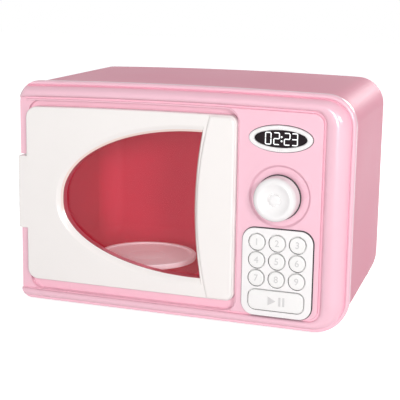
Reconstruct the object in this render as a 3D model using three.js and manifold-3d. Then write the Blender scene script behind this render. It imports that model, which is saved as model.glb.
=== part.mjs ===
// Toy microwave oven: a moulded plastic play oven with a hinged door, a turntable and a keypad.
// Millimetres. +X is to the right, +Y to the back, +Z up. Sizes are measured from the front
// flange: its front plane is y = 0, and the underside of the front frame is z = 0.
import * as THREE from 'three';
import { mergeVertices } from 'three/addons/utils/BufferGeometryUtils.js';
import Module from 'manifold-3d';

const wasm = await Module();
wasm.setup();

// Body: its width, height and depth follow below from what it holds
const crownRise = 2;
const rearTaper = 4;
const rearLift = 3.4;
const rearRise = 2.9;
const rearEdgeRadius = 6;
const frontCorners = { tl: 16, tr: 19.4, br: 21, bl: 8 };
const rearCorners = { tl: 18, tr: 18.8, br: 21, bl: 14 };
const wall = 2.3;
const clearance = 0.3;
const overrun = 6;

// Front frame: a lip, a rolled rail and a groove round the panel
const railTop = 11.3;
const railRight = 18.9;
const railBottom = 6.8;
const stripWidth = 6.7;
const lipTop = 3.4;
const lipRight = 3.2;
const lipBottom = 1.6;
const rollReach = 4;
const panelReach = 1.5;
const panelThickness = 2.9;
const grooveWidth = 1;
const grooveFloor = 0.1;
const panelEdge = 0.5;
const panelCornerRadius = 8;
const flangeBack = 3.6;
const stripBack = 2.6;
const shellStep = 1.2;
const tongueBack = 10;
// Each row: share of the lip, share of the roll behind it, share of the roll's reach
const rimProfileShares = [
  [0, 0, -0.3],
  [0.2, 0, -0.05],
  [0.55, 0, 0],
  [0.9, 0, -0.1],
  [1, 0.02, -0.25],
  [1, 0.1, 0.15],
  [1, 0.24, 0.6],
  [1, 0.42, 0.9],
  [1, 0.6, 1],
  [1, 0.8, 0.9],
  [1, 0.93, 0.55],
  [1, 1, 0.1],
];

// Door recess and the mouth of the oven
const recessDepth = 6;
const recessMarginTop = 2.5;
const recessMarginBottom = 0.4;
const recessRadius = 9;
const mouthMarginLeft = 18.3;
const mouthMarginRight = 30;
const mouthMarginTop = 5.6;
const mouthMarginBottom = 15.8;
const mouthRadius = 12;

// Door
const doorReach = 3;
const doorBack = 5.5;
const doorSkin = 2.4;
const doorGapTop = 4.1;
const doorGapBottom = 8;
const doorRadius = 5.5;
const doorEdgeRound = 0.8;
const doorBackThickness = 2.2;
const doorBackInset = 0.9;
const handleWidth = 29.2;
const handleReach = 1.8;
const handleMargin = 3.6;
const handleLand = 2.6;
const handleBow = 8;
const handleChamfer = 1;
const handleRadius = 4;
const windowMarginLeft = 28;
const windowMarginTop = 12.6;
const windowMarginBottom = 13.3;
const windowBow = 4.6;
const windowBevel = 3.6;
const lensThickness = 1.6;
const lensOverlap = 4.5;
const lensLedge = 3;
const lensRim = 3.4;
const lensPan = 1.2;
const lowerTipShare = 0.446;
const upperTipShare = 0.487;
const doorScrewRadius = 1.1;
const doorScrewHead = 2.2;
const doorScrewInset = 8;

// Hinge
const hingePinRadius = 1.25;
const hingePinLength = 16;
const knuckleRadius = 3;
const knuckleLength = 51.6;
const knuckleRise = 1.15;
const hingeSetback = 4.6;
const hingeBlockBack = 11.5;
const hingeBlockEnd = 11;
const notchGap = 0.6;
const notchBack = 9.9;

// Catch
const catchTongue = 2;
const catchTongueHeight = 8;
const catchTongueReach = 7;
const catchInset = 12;
const catchPlay = 1;
const catchLeaf = 1.8;
const catchDepth = 6.4;

// Controls
const displayMargin = 9.3;
const displayWidth = 42.6;
const displayHeight = 17.4;
const bezelWidth = 3.6;
const bezelWidthVertical = 2.9;
const bezelReach = 1.5;
const bezelSpigot = 1.1;
const displayGlassInset = 0.6;
const displayGlassThickness = 1.8;
const displayModuleWidth = 26;
const displayModuleHeight = 6;
const displayModuleFlange = 4;
const displayGap = 8.4;
const knobGap = 0.4;
const knobRadius = 14.7;
const knobFaceRadius = 12;
const knobHeight = 15.2;
const knobHubRadius = 4.3;
const knobDishRadius = 21;
const knobDishDepth = 1.5;
const knobDishFloorRadius = 17;
const knobShaftRadius = 3;
const knobSwitchSize = 13;
const knobSwitchDepth = 7;
const knobCoreDepth = 8;

// Keypad
const keypadMargin = 1.2;
const keypadMarginSide = 5.3;
const keypadRadius = 8.7;
const keypadThickness = 1.5;
const keyColumns = 3;
const keyRows = 3;
const keyRadius = 5.35;
const keyColumnGap = 3.1;
const keyRowGap = 1.5;
const keyMarginSide = 4.95;
const keyMarginTop = 4.05;
const keyReach = 0.8;
const keyTravel = 1.2;
const keyStemRadius = 4.4;
const keyFlange = 0.55;
const keyFlangeThickness = 0.9;
const startInset = 0.25;
const startHeight = 13.6;
const startGap = 2.55;
const startRadius = 4.7;
const startMargin = 4.3;
const matThickness = 1.2;
const matMargin = 1.2;
const boardThickness = 1.6;
const boardMargin = 2.5;
const boardEnd = 5;
const boardBossRadius = 2.2;
const boardPinRadius = 1.1;
const boardBossInset = 2.6;

// Oven liner
const linerWall = 1.8;
const linerMargin = 2;
const linerRoomBehind = 17.7;
const linerFlange = 3.6;
const linerRadius = 14;
const linerFloorDrop = 0.2;
const lampRadius = 2.5;
const lampFlange = 0.8;
const lampFlangeThickness = 1;
const lampDrop = 4;
const lampSetbackShare = 0.45;

// Turntable and drive
const plateRadius = 36;
const plateHeight = 4;
const plateRim = 3.2;
const plateSink = 1;
const plateRise = 2.5;
const plateRoomSide = 19.65;
const plateRoomFront = 3.4;
const plateRoomBehind = 12.8;
const gearModule = 1.25;
const gearTeeth = 32;
const pinionTeeth = 8;
const gearThickness = 2.8;
const gearAddendum = 1;
const gearDedendum = 1.4;
const gearBacklash = 0.5;
const gearDrop = 0.9;
const pressureAngle = 20;
const spindleRadius = 3;
const spindleHub = 5;
const spindleHubLength = 4;
const dogRadius = 3.4;
const dogHeight = 1.8;
const pivotWall = 2.4;
const motorRadius = 12;
const motorHeight = 11.4;
const motorNose = 3;
const motorNoseHeight = 0.5;
const motorShaftRadius = 1;
const motorCradle = 5;
const ribThickness = 2;
const ribSetback = 10;

// Back of the body
const postInset = 14;
const postDrop = 12.4;
const postRadius = 3.6;
const screwRadius = 1.4;
const screwHeadRadius = 3;
const screwHeadHeight = 2.2;
const screwLength = 13.8;
const counterbore = 5;
const bossLength = 6;
const bossWall = 1;

// Battery bay, speaker and switch
const cellCount = 3;
const cellRadius = 7.25;
const cellLength = 49.5;
const cellNubRadius = 2.75;
const cellNubHeight = 1;
const cellGap = 0.6;
const bayWall = 1.8;
const baySpring = 2.6;
const bayStrip = 0.8;
const bayRise = 18;
const bayLip = 1.4;
const bayTab = 9;
const bayBossWidth = 9;
const coverScrewRadius = 1.3;
const coverScrewHead = 2.6;
const speakerRadius = 20;
const speakerDepth = 13;
const speakerRim = 2.4;
const magnetRadius = 10;
const magnetDepth = 5;
const speakerGap = 9.3;
const grilleRadius = 17;
const grilleSlots = 7;
const grilleSlotHeight = 2;
const switchWidth = 19;
const switchHeight = 7;
const switchDepth = 7;
const switchTravel = 4;
const switchLever = 4;
const switchGap = 4.5;
const switchRecess = 1.2;

// Feet
const footRadius = 7;
const footDrop = 2.5;
const footInsetX = 36;
const footInsetFront = 20;
const footInsetRear = 20.6;
const footPegRadius = 2.2;
const footPegLength = 4;

// Steps round a curve
const cornerSteps = 4;
const crownSteps = 8;
const roundSteps = 16;
const smallSteps = 8;
const dogSides = 6;
const ovalSteps = 24;
const windowSteps = 8;
const smallestRadius = 0.2;
const mergeTolerance = 1e-4;

// The keypad round its keys, the liner round its plate, and the body round both
const keyColumnPitch = 2 * keyRadius + keyColumnGap;
const keyRowPitch = 2 * keyRadius + keyRowGap;
const keysWidth = (keyColumns - 1) * keyColumnPitch + 2 * keyRadius;
const keysHeight = (keyRows - 1) * keyRowPitch + 2 * keyRadius;
const startWidth = keysWidth - 2 * startInset;
const keypadWidth = keysWidth + 2 * keyMarginSide;
const keypadHeight = keyMarginTop + keysHeight + startGap + startHeight + startMargin;
const panelWidth = keypadWidth + 2 * keypadMarginSide;
const keypadTop = railBottom + keypadMargin + keypadHeight;
const knobZ = keypadTop + knobGap + knobDishRadius;
const displayZ = knobZ + knobDishRadius + displayGap + displayHeight / 2;
const panelTop = displayZ + displayHeight / 2 + displayMargin;
const bodyHeight = panelTop + railTop;
const mouthWidth = 2 * (plateRadius + plateRoomSide - linerMargin);
const recessWidth = mouthMarginLeft + mouthWidth + mouthMarginRight;
const bodyWidth = stripWidth + recessWidth + panelWidth + railRight;
const linerFront = recessDepth + wall + clearance;
const linerDepth = plateRoomFront + 2 * plateRadius + plateRoomBehind + linerWall;
const bodyDepth = linerFront + linerDepth + linerRoomBehind + wall;

// Places worked out from the sizes above
const halfWidth = bodyWidth / 2;
const farLeft = -halfWidth - 2 * frontCorners.tr;
const panelBack = panelThickness - panelReach;
const recess = {
  left: -halfWidth + stripWidth,
  right: halfWidth - railRight - panelWidth,
  bottom: railBottom + recessMarginBottom,
  top: bodyHeight - railTop - recessMarginTop,
};
const mouth = {
  left: recess.left + mouthMarginLeft,
  right: recess.right - mouthMarginRight,
  bottom: recess.bottom + mouthMarginBottom,
  top: recess.top - mouthMarginTop,
};
const doorFrame = {
  left: recess.left + clearance,
  right: recess.right - clearance,
  bottom: recess.bottom + doorGapBottom,
  top: recess.top - doorGapTop,
};
const windowFrame = {
  left: doorFrame.left + windowMarginLeft,
  right: doorFrame.right - handleWidth,
  bottom: doorFrame.bottom + windowMarginBottom,
  top: doorFrame.top - windowMarginTop,
};
const lens = { front: doorSkin - doorReach + clearance };
lens.flangeBack = lens.front + lensThickness;
const doorBackFront = doorBack - doorBackThickness;
const doorMiddle = (doorFrame.bottom + doorFrame.top) / 2;
const knuckle = {
  top: doorMiddle + knuckleRise + knuckleLength / 2,
  bottom: doorMiddle + knuckleRise - knuckleLength / 2,
};
const hinge = { x: -halfWidth + knuckleRadius + notchGap, y: hingeSetback };
const catchX = doorFrame.right - catchInset;
const catchZ = doorMiddle;
const controlX = (recess.right + halfWidth - railRight) / 2;
const keypadZ = keypadTop - keypadHeight / 2;
const keypadBack = -panelReach - clearance;
const keypadFront = keypadBack - keypadThickness;
const keyFirstZ = keypadTop - keyMarginTop - keyRadius;
const startZ = keypadZ - keypadHeight / 2 + startMargin + startHeight / 2;
const keyStemEnd = panelBack;
const matFront = keyStemEnd + keyTravel + clearance;
const boardFront = matFront + matThickness + clearance;
const boardBack = boardFront + boardThickness;
const board = {
  left: recess.right + wall + boardMargin,
  right: halfWidth - postInset - postRadius - boardMargin,
  bottom: railBottom + boardEnd,
  top: panelTop - boardEnd,
};
const liner = {
  left: mouth.left - linerMargin,
  right: mouth.right + linerMargin,
  bottom: mouth.bottom - linerFloorDrop,
  top: mouth.top + linerMargin,
};
const linerUnder = liner.bottom - linerWall;
const turntable = { x: (liner.left + liner.right) / 2, y: linerFront + plateRoomFront + plateRadius };
const plateBottom = liner.bottom + plateRise;
const shellFront = flangeBack + clearance;
const shellBackInside = bodyDepth - wall;
const shellFull = bodyDepth - rearEdgeRadius;
const gearTop = linerUnder - gearDrop;
const gearBottom = gearTop - gearThickness;
const motorX = turntable.x + (gearModule * (gearTeeth + pinionTeeth)) / 2;
const bayWidth = cellCount * (2 * cellRadius + cellGap) + cellGap;
const bayLength = cellLength + cellNubHeight + baySpring + 2 * bayStrip + 3 * clearance;
const bayBottom = bayRise;
const bayDepth = 2 * cellRadius + 2 * clearance;
const bayBack = shellBackInside - clearance;
const bayFront = bayBack - bayDepth - bayWall;
const cellY = bayFront + bayWall + clearance + cellRadius;
const bayTop = bayBottom + bayLength;
const contactTop = bayBottom + clearance + bayStrip;
const contactUnder = bayTop - clearance - bayStrip;
const cellX = (index) => controlX + (index - (cellCount - 1) / 2) * (2 * cellRadius + cellGap);
const switchZ = bayTop + bayTab + switchGap + switchHeight / 2;
const speakerZ = switchZ + switchHeight / 2 + speakerGap + speakerRadius;

// Geometry to solids and back
function signedVolume(points, triangles) {
  let sum = 0;
  const corner = [new THREE.Vector3(), new THREE.Vector3(), new THREE.Vector3()];
  for (let i = 0; i < triangles.length; i += 3) {
    corner.forEach((v, k) => v.fromArray(points, 3 * triangles[i + k]));
    sum += corner[0].dot(corner[1].cross(corner[2]));
  }
  return sum;
}

function solid(geometry) {
  const bare = geometry.clone();
  bare.deleteAttribute('normal');
  bare.deleteAttribute('uv');
  const merged = mergeVertices(bare, mergeTolerance);
  const points = merged.attributes.position.array;
  const triangles = [];
  const all = merged.index.array;
  for (let i = 0; i < all.length; i += 3) {
    const [a, b, c] = [all[i], all[i + 1], all[i + 2]];
    if (a !== b && b !== c && c !== a) triangles.push(a, b, c);
  }
  if (signedVolume(points, triangles) < 0) triangles.reverse();
  const data = { numProp: 3, vertProperties: points, triVerts: new Uint32Array(triangles) };
  return new wasm.Manifold(new wasm.Mesh(data));
}

function geometryOf(manifold) {
  const data = manifold.getMesh();
  const geometry = new THREE.BufferGeometry();
  geometry.setAttribute('position', new THREE.BufferAttribute(data.vertProperties, 3));
  geometry.setIndex(new THREE.BufferAttribute(data.triVerts, 1));
  geometry.computeVertexNormals();
  return geometry;
}

const join = (...pieces) => pieces.flat().reduce((whole, piece) => whole.add(piece));
const cut = (base, ...tools) => tools.flat().reduce((rest, tool) => rest.subtract(tool), base);

// Solids along the axes
function block([x0, x1], [y0, y1], [z0, z1]) {
  const box = new THREE.BoxGeometry(x1 - x0, y1 - y0, z1 - z0);
  return solid(box.translate((x0 + x1) / 2, (y0 + y1) / 2, (z0 + z1) / 2));
}

function rodY(radius, [y0, y1], x, z, steps = roundSteps) {
  const rod = new THREE.CylinderGeometry(radius, radius, y1 - y0, steps);
  return solid(rod.translate(x, (y0 + y1) / 2, z));
}

function rodZ(radius, [z0, z1], x, y, steps = roundSteps) {
  const rod = new THREE.CylinderGeometry(radius, radius, z1 - z0, steps).rotateX(Math.PI / 2);
  return solid(rod.translate(x, y, (z0 + z1) / 2));
}

// A shape drawn in x and z, as deep as y0 to y1
function prismY(points, [y0, y1]) {
  const shape = new THREE.Shape(points.map(([x, z]) => new THREE.Vector2(x, z)));
  const prism = new THREE.ExtrudeGeometry(shape, { depth: y1 - y0, bevelEnabled: false });
  return solid(prism.rotateX(Math.PI / 2).translate(0, y1, 0));
}

// A shape drawn in x and y, as high as z0 to z1
function prismZ(points, [z0, z1]) {
  const shape = new THREE.Shape(points.map(([x, y]) => new THREE.Vector2(x, y)));
  const prism = new THREE.ExtrudeGeometry(shape, { depth: z1 - z0, bevelEnabled: false });
  return solid(prism.translate(0, 0, z0));
}

// A profile of [radius, y] points turned about an axis along Y
function turnedY(profile, x, z, steps = roundSteps) {
  const points = profile.map(([r, y]) => new THREE.Vector2(r, y));
  return solid(new THREE.LatheGeometry(points, steps).translate(x, 0, z));
}

// A profile of [radius, z] points turned about an axis along Z
function turnedZ(profile, x, y, steps = roundSteps) {
  const points = profile.map(([r, z]) => new THREE.Vector2(r, z));
  return solid(new THREE.LatheGeometry(points, steps).rotateX(Math.PI / 2).translate(x, y, 0));
}

// Rings of [x, z] points at rising y, each with as many points, skinned and capped
function loft(rings) {
  const count = rings[0].points.length;
  const positions = rings.flatMap((ring) => ring.points.flatMap(([x, z]) => [x, ring.y, z]));
  const index = [];
  for (let i = 0; i + 1 < rings.length; i += 1) {
    for (let j = 0; j < count; j += 1) {
      const next = (j + 1) % count;
      const [a, b] = [i * count + j, i * count + next];
      index.push(a, b, b + count, a, b + count, a + count);
    }
  }
  const addCap = (ring, flip) => {
    const flat = rings[ring].points.map(([x, z]) => new THREE.Vector2(x, z));
    for (const face of THREE.ShapeUtils.triangulateShape(flat, [])) {
      const turn = THREE.ShapeUtils.area(face.map((k) => flat[k])) > 0;
      const ordered = turn === flip ? [...face].reverse() : face;
      index.push(...ordered.map((k) => ring * count + k));
    }
  };
  addCap(0, true);
  addCap(rings.length - 1, false);
  const geometry = new THREE.BufferGeometry();
  geometry.setAttribute('position', new THREE.Float32BufferAttribute(positions, 3));
  geometry.setIndex(index);
  return solid(geometry);
}

// Outlines
const crownAt = (x) => crownRise * (1 - (x / halfWidth) ** 2);

function arc(x, z, radius, from, to, steps) {
  return Array.from({ length: steps + 1 }, (_, k) => {
    const angle = THREE.MathUtils.degToRad(from + ((to - from) * k) / steps);
    return [x + radius * Math.cos(angle), z + radius * Math.sin(angle)];
  });
}

// A rounded rectangle whose top edge follows the body's crown
function crowned({ left, right, bottom, top, radii }, steps = cornerSteps) {
  const { tl, tr, br, bl } = radii;
  const middle = (bottom + top) / 2;
  const across = Array.from({ length: crownSteps - 1 }, (_, k) => {
    const share = (k + 1) / crownSteps;
    return [right - tr + share * (left + tl - right + tr), top];
  });
  return [
    ...arc(right - br, bottom + br, br, -90, 0, steps),
    ...arc(right - tr, top - tr, tr, 0, 90, steps),
    ...across,
    ...arc(left + tl, top - tl, tl, 90, 180, steps),
    ...arc(left + bl, bottom + bl, bl, 180, 270, steps),
  ].map(([x, z]) => [x, z > middle ? z + crownAt(x) : z]);
}

function rounded(x, z, width, height, radius, steps = cornerSteps) {
  const [dx, dz] = [width / 2 - radius, height / 2 - radius];
  return [
    ...arc(x + dx, z - dz, radius, -90, 0, steps),
    ...arc(x + dx, z + dz, radius, 0, 90, steps),
    ...arc(x - dx, z + dz, radius, 90, 180, steps),
    ...arc(x - dx, z - dz, radius, 180, 270, steps),
  ];
}

function oval(x, z, a, b, steps = ovalSteps) {
  return Array.from({ length: steps }, (_, k) => {
    const angle = (2 * Math.PI * k) / steps;
    return [x + a * Math.cos(angle), z + b * Math.sin(angle)];
  });
}

const shrink = (radii, inset) => Object.fromEntries(
  Object.entries(radii).map(([name, r]) => [name, Math.max(r - inset, smallestRadius)]),
);
const even = (radius) => ({ tl: radius, tr: radius, br: radius, bl: radius });

function frontOutline(inset = 0) {
  return crowned({
    left: -halfWidth + inset,
    right: halfWidth - inset,
    bottom: inset,
    top: bodyHeight - inset,
    radii: shrink(frontCorners, inset),
  });
}

// The body behind the flange, drawn in and tilted up towards the back
function bodyOutline(y, inset) {
  const share = (y - shellFront) / (shellFull - shellFront);
  const step = shellStep + inset + share * (rearTaper - shellStep);
  const radii = Object.fromEntries(Object.entries(frontCorners).map(
    ([name, r]) => [name, r - shellStep + share * (rearCorners[name] - r + shellStep)],
  ));
  return crowned({
    left: -halfWidth + step,
    right: halfWidth - step,
    bottom: inset + shellStep + share * (rearLift - shellStep),
    top: bodyHeight - inset - shellStep + share * (rearRise + shellStep),
    radii: shrink(radii, inset),
  });
}

// The window: a half leaf with a round left end and a right edge that bows inwards
function windowOutline(grow = 0, leftGrow = grow) {
  const { left, right, bottom, top } = windowFrame;
  const height = top + crownAt(right) - bottom;
  const lowZ = bottom + lowerTipShare * height;
  const highZ = bottom + upperTipShare * height;
  const a = right - left + leftGrow;
  const edgeX = right + windowBow + grow;
  const highB = bottom + height - highZ + leftGrow;
  const lowB = lowZ - bottom + leftGrow;
  const points = [];
  for (let k = 0; k <= windowSteps; k += 1) {
    const angle = (Math.PI / 2) * (k / windowSteps);
    points.push([right - a * Math.sin(angle), highZ + highB * Math.cos(angle)]);
  }
  for (let k = 0; k <= windowSteps; k += 1) {
    const angle = (Math.PI / 2) * (k / windowSteps);
    points.push([right - a * Math.cos(angle), lowZ - lowB * Math.sin(angle)]);
  }
  const [z0, z1] = [lowZ - lowB, highZ + highB];
  for (let k = 0; k <= windowSteps; k += 1) {
    const share = k / windowSteps;
    const bow = 1 - (2 * share - 1) ** 2;
    points.push([edgeX - windowBow * bow, z0 + share * (z1 - z0)]);
  }
  return points;
}

function gearOutline(teeth, x, y, startAngle) {
  const pitch = (gearModule * teeth) / 2;
  const slope = Math.tan(THREE.MathUtils.degToRad(pressureAngle));
  const half = (Math.PI * gearModule) / 4 - gearBacklash / 2;
  const tip = (half - slope * gearAddendum) / (pitch + gearAddendum);
  const root = (half + slope * gearDedendum) / (pitch - gearDedendum);
  return Array.from({ length: teeth }, (_, k) => {
    const middle = startAngle + (2 * Math.PI * k) / teeth;
    return [[-root, -gearDedendum], [-tip, gearAddendum], [tip, gearAddendum], [root, -gearDedendum]]
      .map(([turn, reach]) => [
        x + (pitch + reach) * Math.cos(middle + turn),
        y + (pitch + reach) * Math.sin(middle + turn),
      ]);
  }).flat();
}

// Places of the posts, screws, pins and feet
const postPlaces = [-1, 1].flatMap((side) => [
  [side * (halfWidth - postInset), postDrop + rearLift / 2],
  [side * (halfWidth - postInset), bodyHeight - postDrop],
]);
const postEnd = shellBackInside - bossLength - clearance;
const boardPins = [
  [board.right - boardBossInset, board.bottom + boardBossInset],
  [board.right - boardBossInset, board.top - boardBossInset],
  [board.left + boardBossInset, board.top - boardBossInset],
];
const countTo = (count) => [...Array(count).keys()];
const keyPlaces = countTo(keyRows).flatMap((row) => countTo(keyColumns).map((column) => [
  controlX + (column - (keyColumns - 1) / 2) * keyColumnPitch,
  keyFirstZ - row * keyRowPitch,
]));
const doorScrewPlaces = [
  [doorFrame.left + doorScrewInset, doorFrame.bottom + doorScrewInset],
  [doorFrame.left + doorScrewInset, doorFrame.top - doorScrewInset],
  [doorFrame.right - doorScrewInset, doorFrame.bottom + doorScrewInset],
  [doorFrame.right - doorScrewInset, doorFrame.top - doorScrewInset],
];
const footPlaces = [-1, 1].flatMap((side) => [footInsetFront, bodyDepth - footInsetRear].map(
  (y) => [side * (halfWidth - footInsetX), y],
));
const undersideAt = (y) => shellStep + ((y - shellFront) / (shellFull - shellFront))
  * (rearLift - shellStep);

// Front shell
function frontFace() {
  const ring = (lipShare, rollShare, extra, y) => {
    const inset = (lip, rail) => lipShare * lip + rollShare * (rail - lip) + extra;
    const share = inset(lipRight, railRight) / railRight;
    const radius = (r) => Math.max(r + share * (panelCornerRadius - r), smallestRadius);
    return {
      y,
      points: crowned({
        left: farLeft,
        right: halfWidth - inset(lipRight, railRight),
        bottom: inset(lipBottom, railBottom),
        top: bodyHeight - inset(lipTop, railTop),
        radii: { ...even(smallestRadius), tr: radius(frontCorners.tr), br: radius(frontCorners.br) },
      }),
    };
  };
  return loft([
    ring(0, 0, 0, flangeBack),
    ...rimProfileShares.map(([lip, roll, reach]) => ring(lip, roll, 0, -reach * rollReach)),
    ring(1, 1, 0, -grooveFloor),
    ring(1, 1, grooveWidth, -grooveFloor),
    ring(1, 1, grooveWidth, -panelReach + clearance),
    ring(1, 1, grooveWidth + panelEdge, -panelReach),
  ]);
}

function frontShell() {
  const through = [-rollReach - overrun, tongueBack + overrun];
  const step = shellStep + wall + 2 * clearance;
  const recessOutline = crowned({
    ...recess,
    radii: { tl: smallestRadius, tr: recessRadius, br: recessRadius, bl: smallestRadius },
  });
  const recessShell = prismY(crowned({
    left: recess.left - wall,
    right: recess.right + wall,
    bottom: recess.bottom - wall,
    top: recess.top + wall,
    radii: even(recessRadius),
  }), [through[0], recessDepth + wall]);
  const inside = prismY(frontOutline(step + wall), [panelBack, tongueBack + overrun]);
  const hingeBlock = block(
    [-halfWidth + shellStep, recess.left],
    [stripBack, hingeBlockBack],
    [knuckle.bottom - hingeBlockEnd, knuckle.top + hingeBlockEnd],
  );
  const strip = prismY(crowned({
    left: farLeft,
    right: recess.left,
    bottom: railBottom,
    top: panelTop - grooveWidth,
    radii: even(smallestRadius),
  }), [through[0], stripBack]);
  const notch = block(
    [farLeft, recess.left + notchGap],
    [through[0], notchBack],
    [knuckle.bottom - notchGap, knuckle.top + notchGap],
  );
  const pinHole = hingePinRadius + clearance;
  const pinHoles = hingePins().map(([z0, z1]) => rodZ(
    pinHole, [z0 - clearance, z1 + clearance], hinge.x, hinge.y, smallSteps,
  ));
  const posts = postPlaces.map(([x, z]) => rodY(
    postRadius, [panelBack - clearance, postEnd], x, z, smallSteps,
  ));
  const pilots = postPlaces.map(([x, z]) => rodY(
    screwRadius + clearance, [postEnd - screwLength, postEnd + overrun], x, z, smallSteps,
  ));
  const bosses = boardPins.flatMap(([x, z]) => [
    rodY(boardBossRadius, [panelBack - clearance, boardFront - clearance], x, z, smallSteps),
    rodY(boardPinRadius, [panelBack, boardBack + panelReach], x, z, smallSteps),
  ]);
  const keyOpening = {
    width: keysWidth + 2 * keyFlange + 2 * clearance,
    top: keyFirstZ + keyRadius + keyFlange + clearance,
    bottom: startZ - startHeight / 2 - keyFlange - clearance,
  };
  const windows = [
    prismY(oval(controlX, displayZ, displayWidth / 2 - bezelWidth + bezelSpigot + clearance,
      displayHeight / 2 - bezelWidthVertical + bezelSpigot + clearance), through),
    turnedY([[0, -panelReach - overrun], [knobDishRadius, -panelReach - overrun],
      [knobDishRadius, -panelReach], [knobDishFloorRadius, knobDishDepth - panelReach],
      [0, knobDishDepth - panelReach]], controlX, knobZ, ovalSteps),
    rodY(knobShaftRadius + 2 * clearance + bossWall, through, controlX, knobZ),
    prismY(rounded(controlX, (keyOpening.top + keyOpening.bottom) / 2, keyOpening.width,
      keyOpening.top - keyOpening.bottom, keyRadius), through),
  ];
  const catchSlot = block(
    [catchX - catchTongue / 2 - catchPlay, catchX + catchTongue / 2 + catchPlay],
    [0, recessDepth + wall + overrun],
    [catchZ - catchTongueHeight / 2 - catchPlay, catchZ + catchTongueHeight / 2 + catchPlay],
  );
  const mouthHole = prismY(rounded((mouth.left + mouth.right) / 2, (mouth.bottom + mouth.top) / 2,
    mouth.right - mouth.left, mouth.top - mouth.bottom, mouthRadius), [0, recessDepth + wall + overrun]);
  const filled = join(frontFace(), prismY(frontOutline(step), [flangeBack - clearance, tongueBack]));
  const trimmed = filled.intersect(prismY(frontOutline(), through));
  const hollowed = join(cut(trimmed, inside.subtract(recessShell)), hingeBlock, posts, bosses);
  return cut(hollowed, strip, prismY(recessOutline, [through[0], recessDepth]), mouthHole, notch,
    pinHoles, pilots, windows, catchSlot);
}

// Rear shell
function rearShell() {
  const rounding = (inset) => [0, 30, 60, 90].map((degrees) => {
    const angle = THREE.MathUtils.degToRad(degrees);
    const radius = rearEdgeRadius - inset;
    return {
      y: shellFull + radius * Math.sin(angle),
      points: bodyOutline(shellFull, inset + radius * (1 - Math.cos(angle))),
    };
  });
  const outer = loft([{ y: shellFront, points: bodyOutline(shellFront, 0) }, ...rounding(0)]);
  const mouthRing = { y: shellFront - overrun, points: bodyOutline(shellFront - overrun, wall) };
  const inner = loft([mouthRing, ...rounding(wall)]);
  const backWall = [shellBackInside - clearance, bodyDepth + overrun];
  const hingeRelief = block(
    [farLeft, recess.left + clearance + notchGap],
    [0, hingeBlockBack + clearance],
    [knuckle.bottom - hingeBlockEnd - clearance, knuckle.top + hingeBlockEnd + clearance],
  );
  const bosses = postPlaces.map(([x, z]) => rodY(
    screwHeadRadius + clearance + bossWall, [shellBackInside - bossLength, bodyDepth], x, z, smallSteps,
  ));
  const bossHoles = postPlaces.flatMap(([x, z]) => [
    rodY(screwRadius + clearance, [postEnd - overrun, bodyDepth], x, z, smallSteps),
    rodY(screwHeadRadius + clearance, [bodyDepth - counterbore, bodyDepth + overrun], x, z, smallSteps),
  ]);
  const bayOpening = block(
    [controlX - bayWidth / 2 - bayLip, controlX + bayWidth / 2 + bayLip],
    [shellBackInside - overrun, bodyDepth + overrun],
    [bayBottom - bayLip, bayTop + bayTab],
  );
  const slotPitch = (2 * grilleRadius) / grilleSlots;
  const slots = Array.from({ length: grilleSlots }, (_, k) => {
    const dz = (k - (grilleSlots - 1) / 2) * slotPitch;
    const half = Math.sqrt(grilleRadius ** 2 - dz ** 2);
    const z = speakerZ + dz;
    return block([controlX - half, controlX + half], [backWall[0] - overrun, backWall[1]],
      [z - grilleSlotHeight / 2, z + grilleSlotHeight / 2]);
  });
  const speakerRing = cut(
    rodY(speakerRadius + clearance + bayWall, [shellBackInside - speakerRim * 2, shellBackInside + clearance],
      controlX, speakerZ),
    rodY(speakerRadius + clearance, [shellBackInside - overrun, shellBackInside], controlX, speakerZ),
  );
  const leverSlot = {
    x: [controlX - switchTravel / 2 - switchLever / 2 - clearance,
      controlX + switchTravel / 2 + switchLever / 2 + clearance],
    z: [switchZ - switchLever / 2 - clearance, switchZ + switchLever / 2 + clearance],
  };
  const switchCuts = [
    block(leverSlot.x, [shellBackInside - overrun, bodyDepth + overrun], leverSlot.z),
    prismY(rounded(controlX, switchZ, switchWidth, switchHeight, switchHeight / 2), [
      bodyDepth - switchRecess, bodyDepth + overrun]),
  ];
  const floor = undersideAt(turntable.y) + wall;
  const pivot = rodZ(spindleRadius + clearance + pivotWall,
    [floor - wall / 2, gearBottom - spindleHubLength - clearance], turntable.x, turntable.y);
  const pivotHole = rodZ(spindleRadius + clearance, [floor + clearance, gearTop], turntable.x, turntable.y,
    smallSteps);
  const cradle = cut(
    rodZ(motorRadius + clearance + ribThickness, [floor - wall / 2, floor + motorCradle], motorX,
      turntable.y),
    rodZ(motorRadius + clearance, [floor + clearance, gearTop], motorX, turntable.y),
  );
  const ribs = [linerFront + ribSetback, linerFront + linerDepth - ribSetback].map((y) => block(
    [liner.left, liner.right],
    [y, y + ribThickness],
    [undersideAt(y) + wall / 2, linerUnder - clearance],
  ));
  const pegHoles = footPlaces.map(([x, y]) => rodZ(
    footPegRadius + clearance, [-overrun, undersideAt(y) + wall + overrun], x, y, smallSteps,
  ));
  const shell = cut(outer, inner, hingeRelief);
  const inserts = join(bosses, speakerRing, pivot, cradle, ribs).intersect(outer);
  return cut(join(shell, inserts), bossHoles, bayOpening, slots, switchCuts, pivotHole, pegHoles);
}

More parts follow.
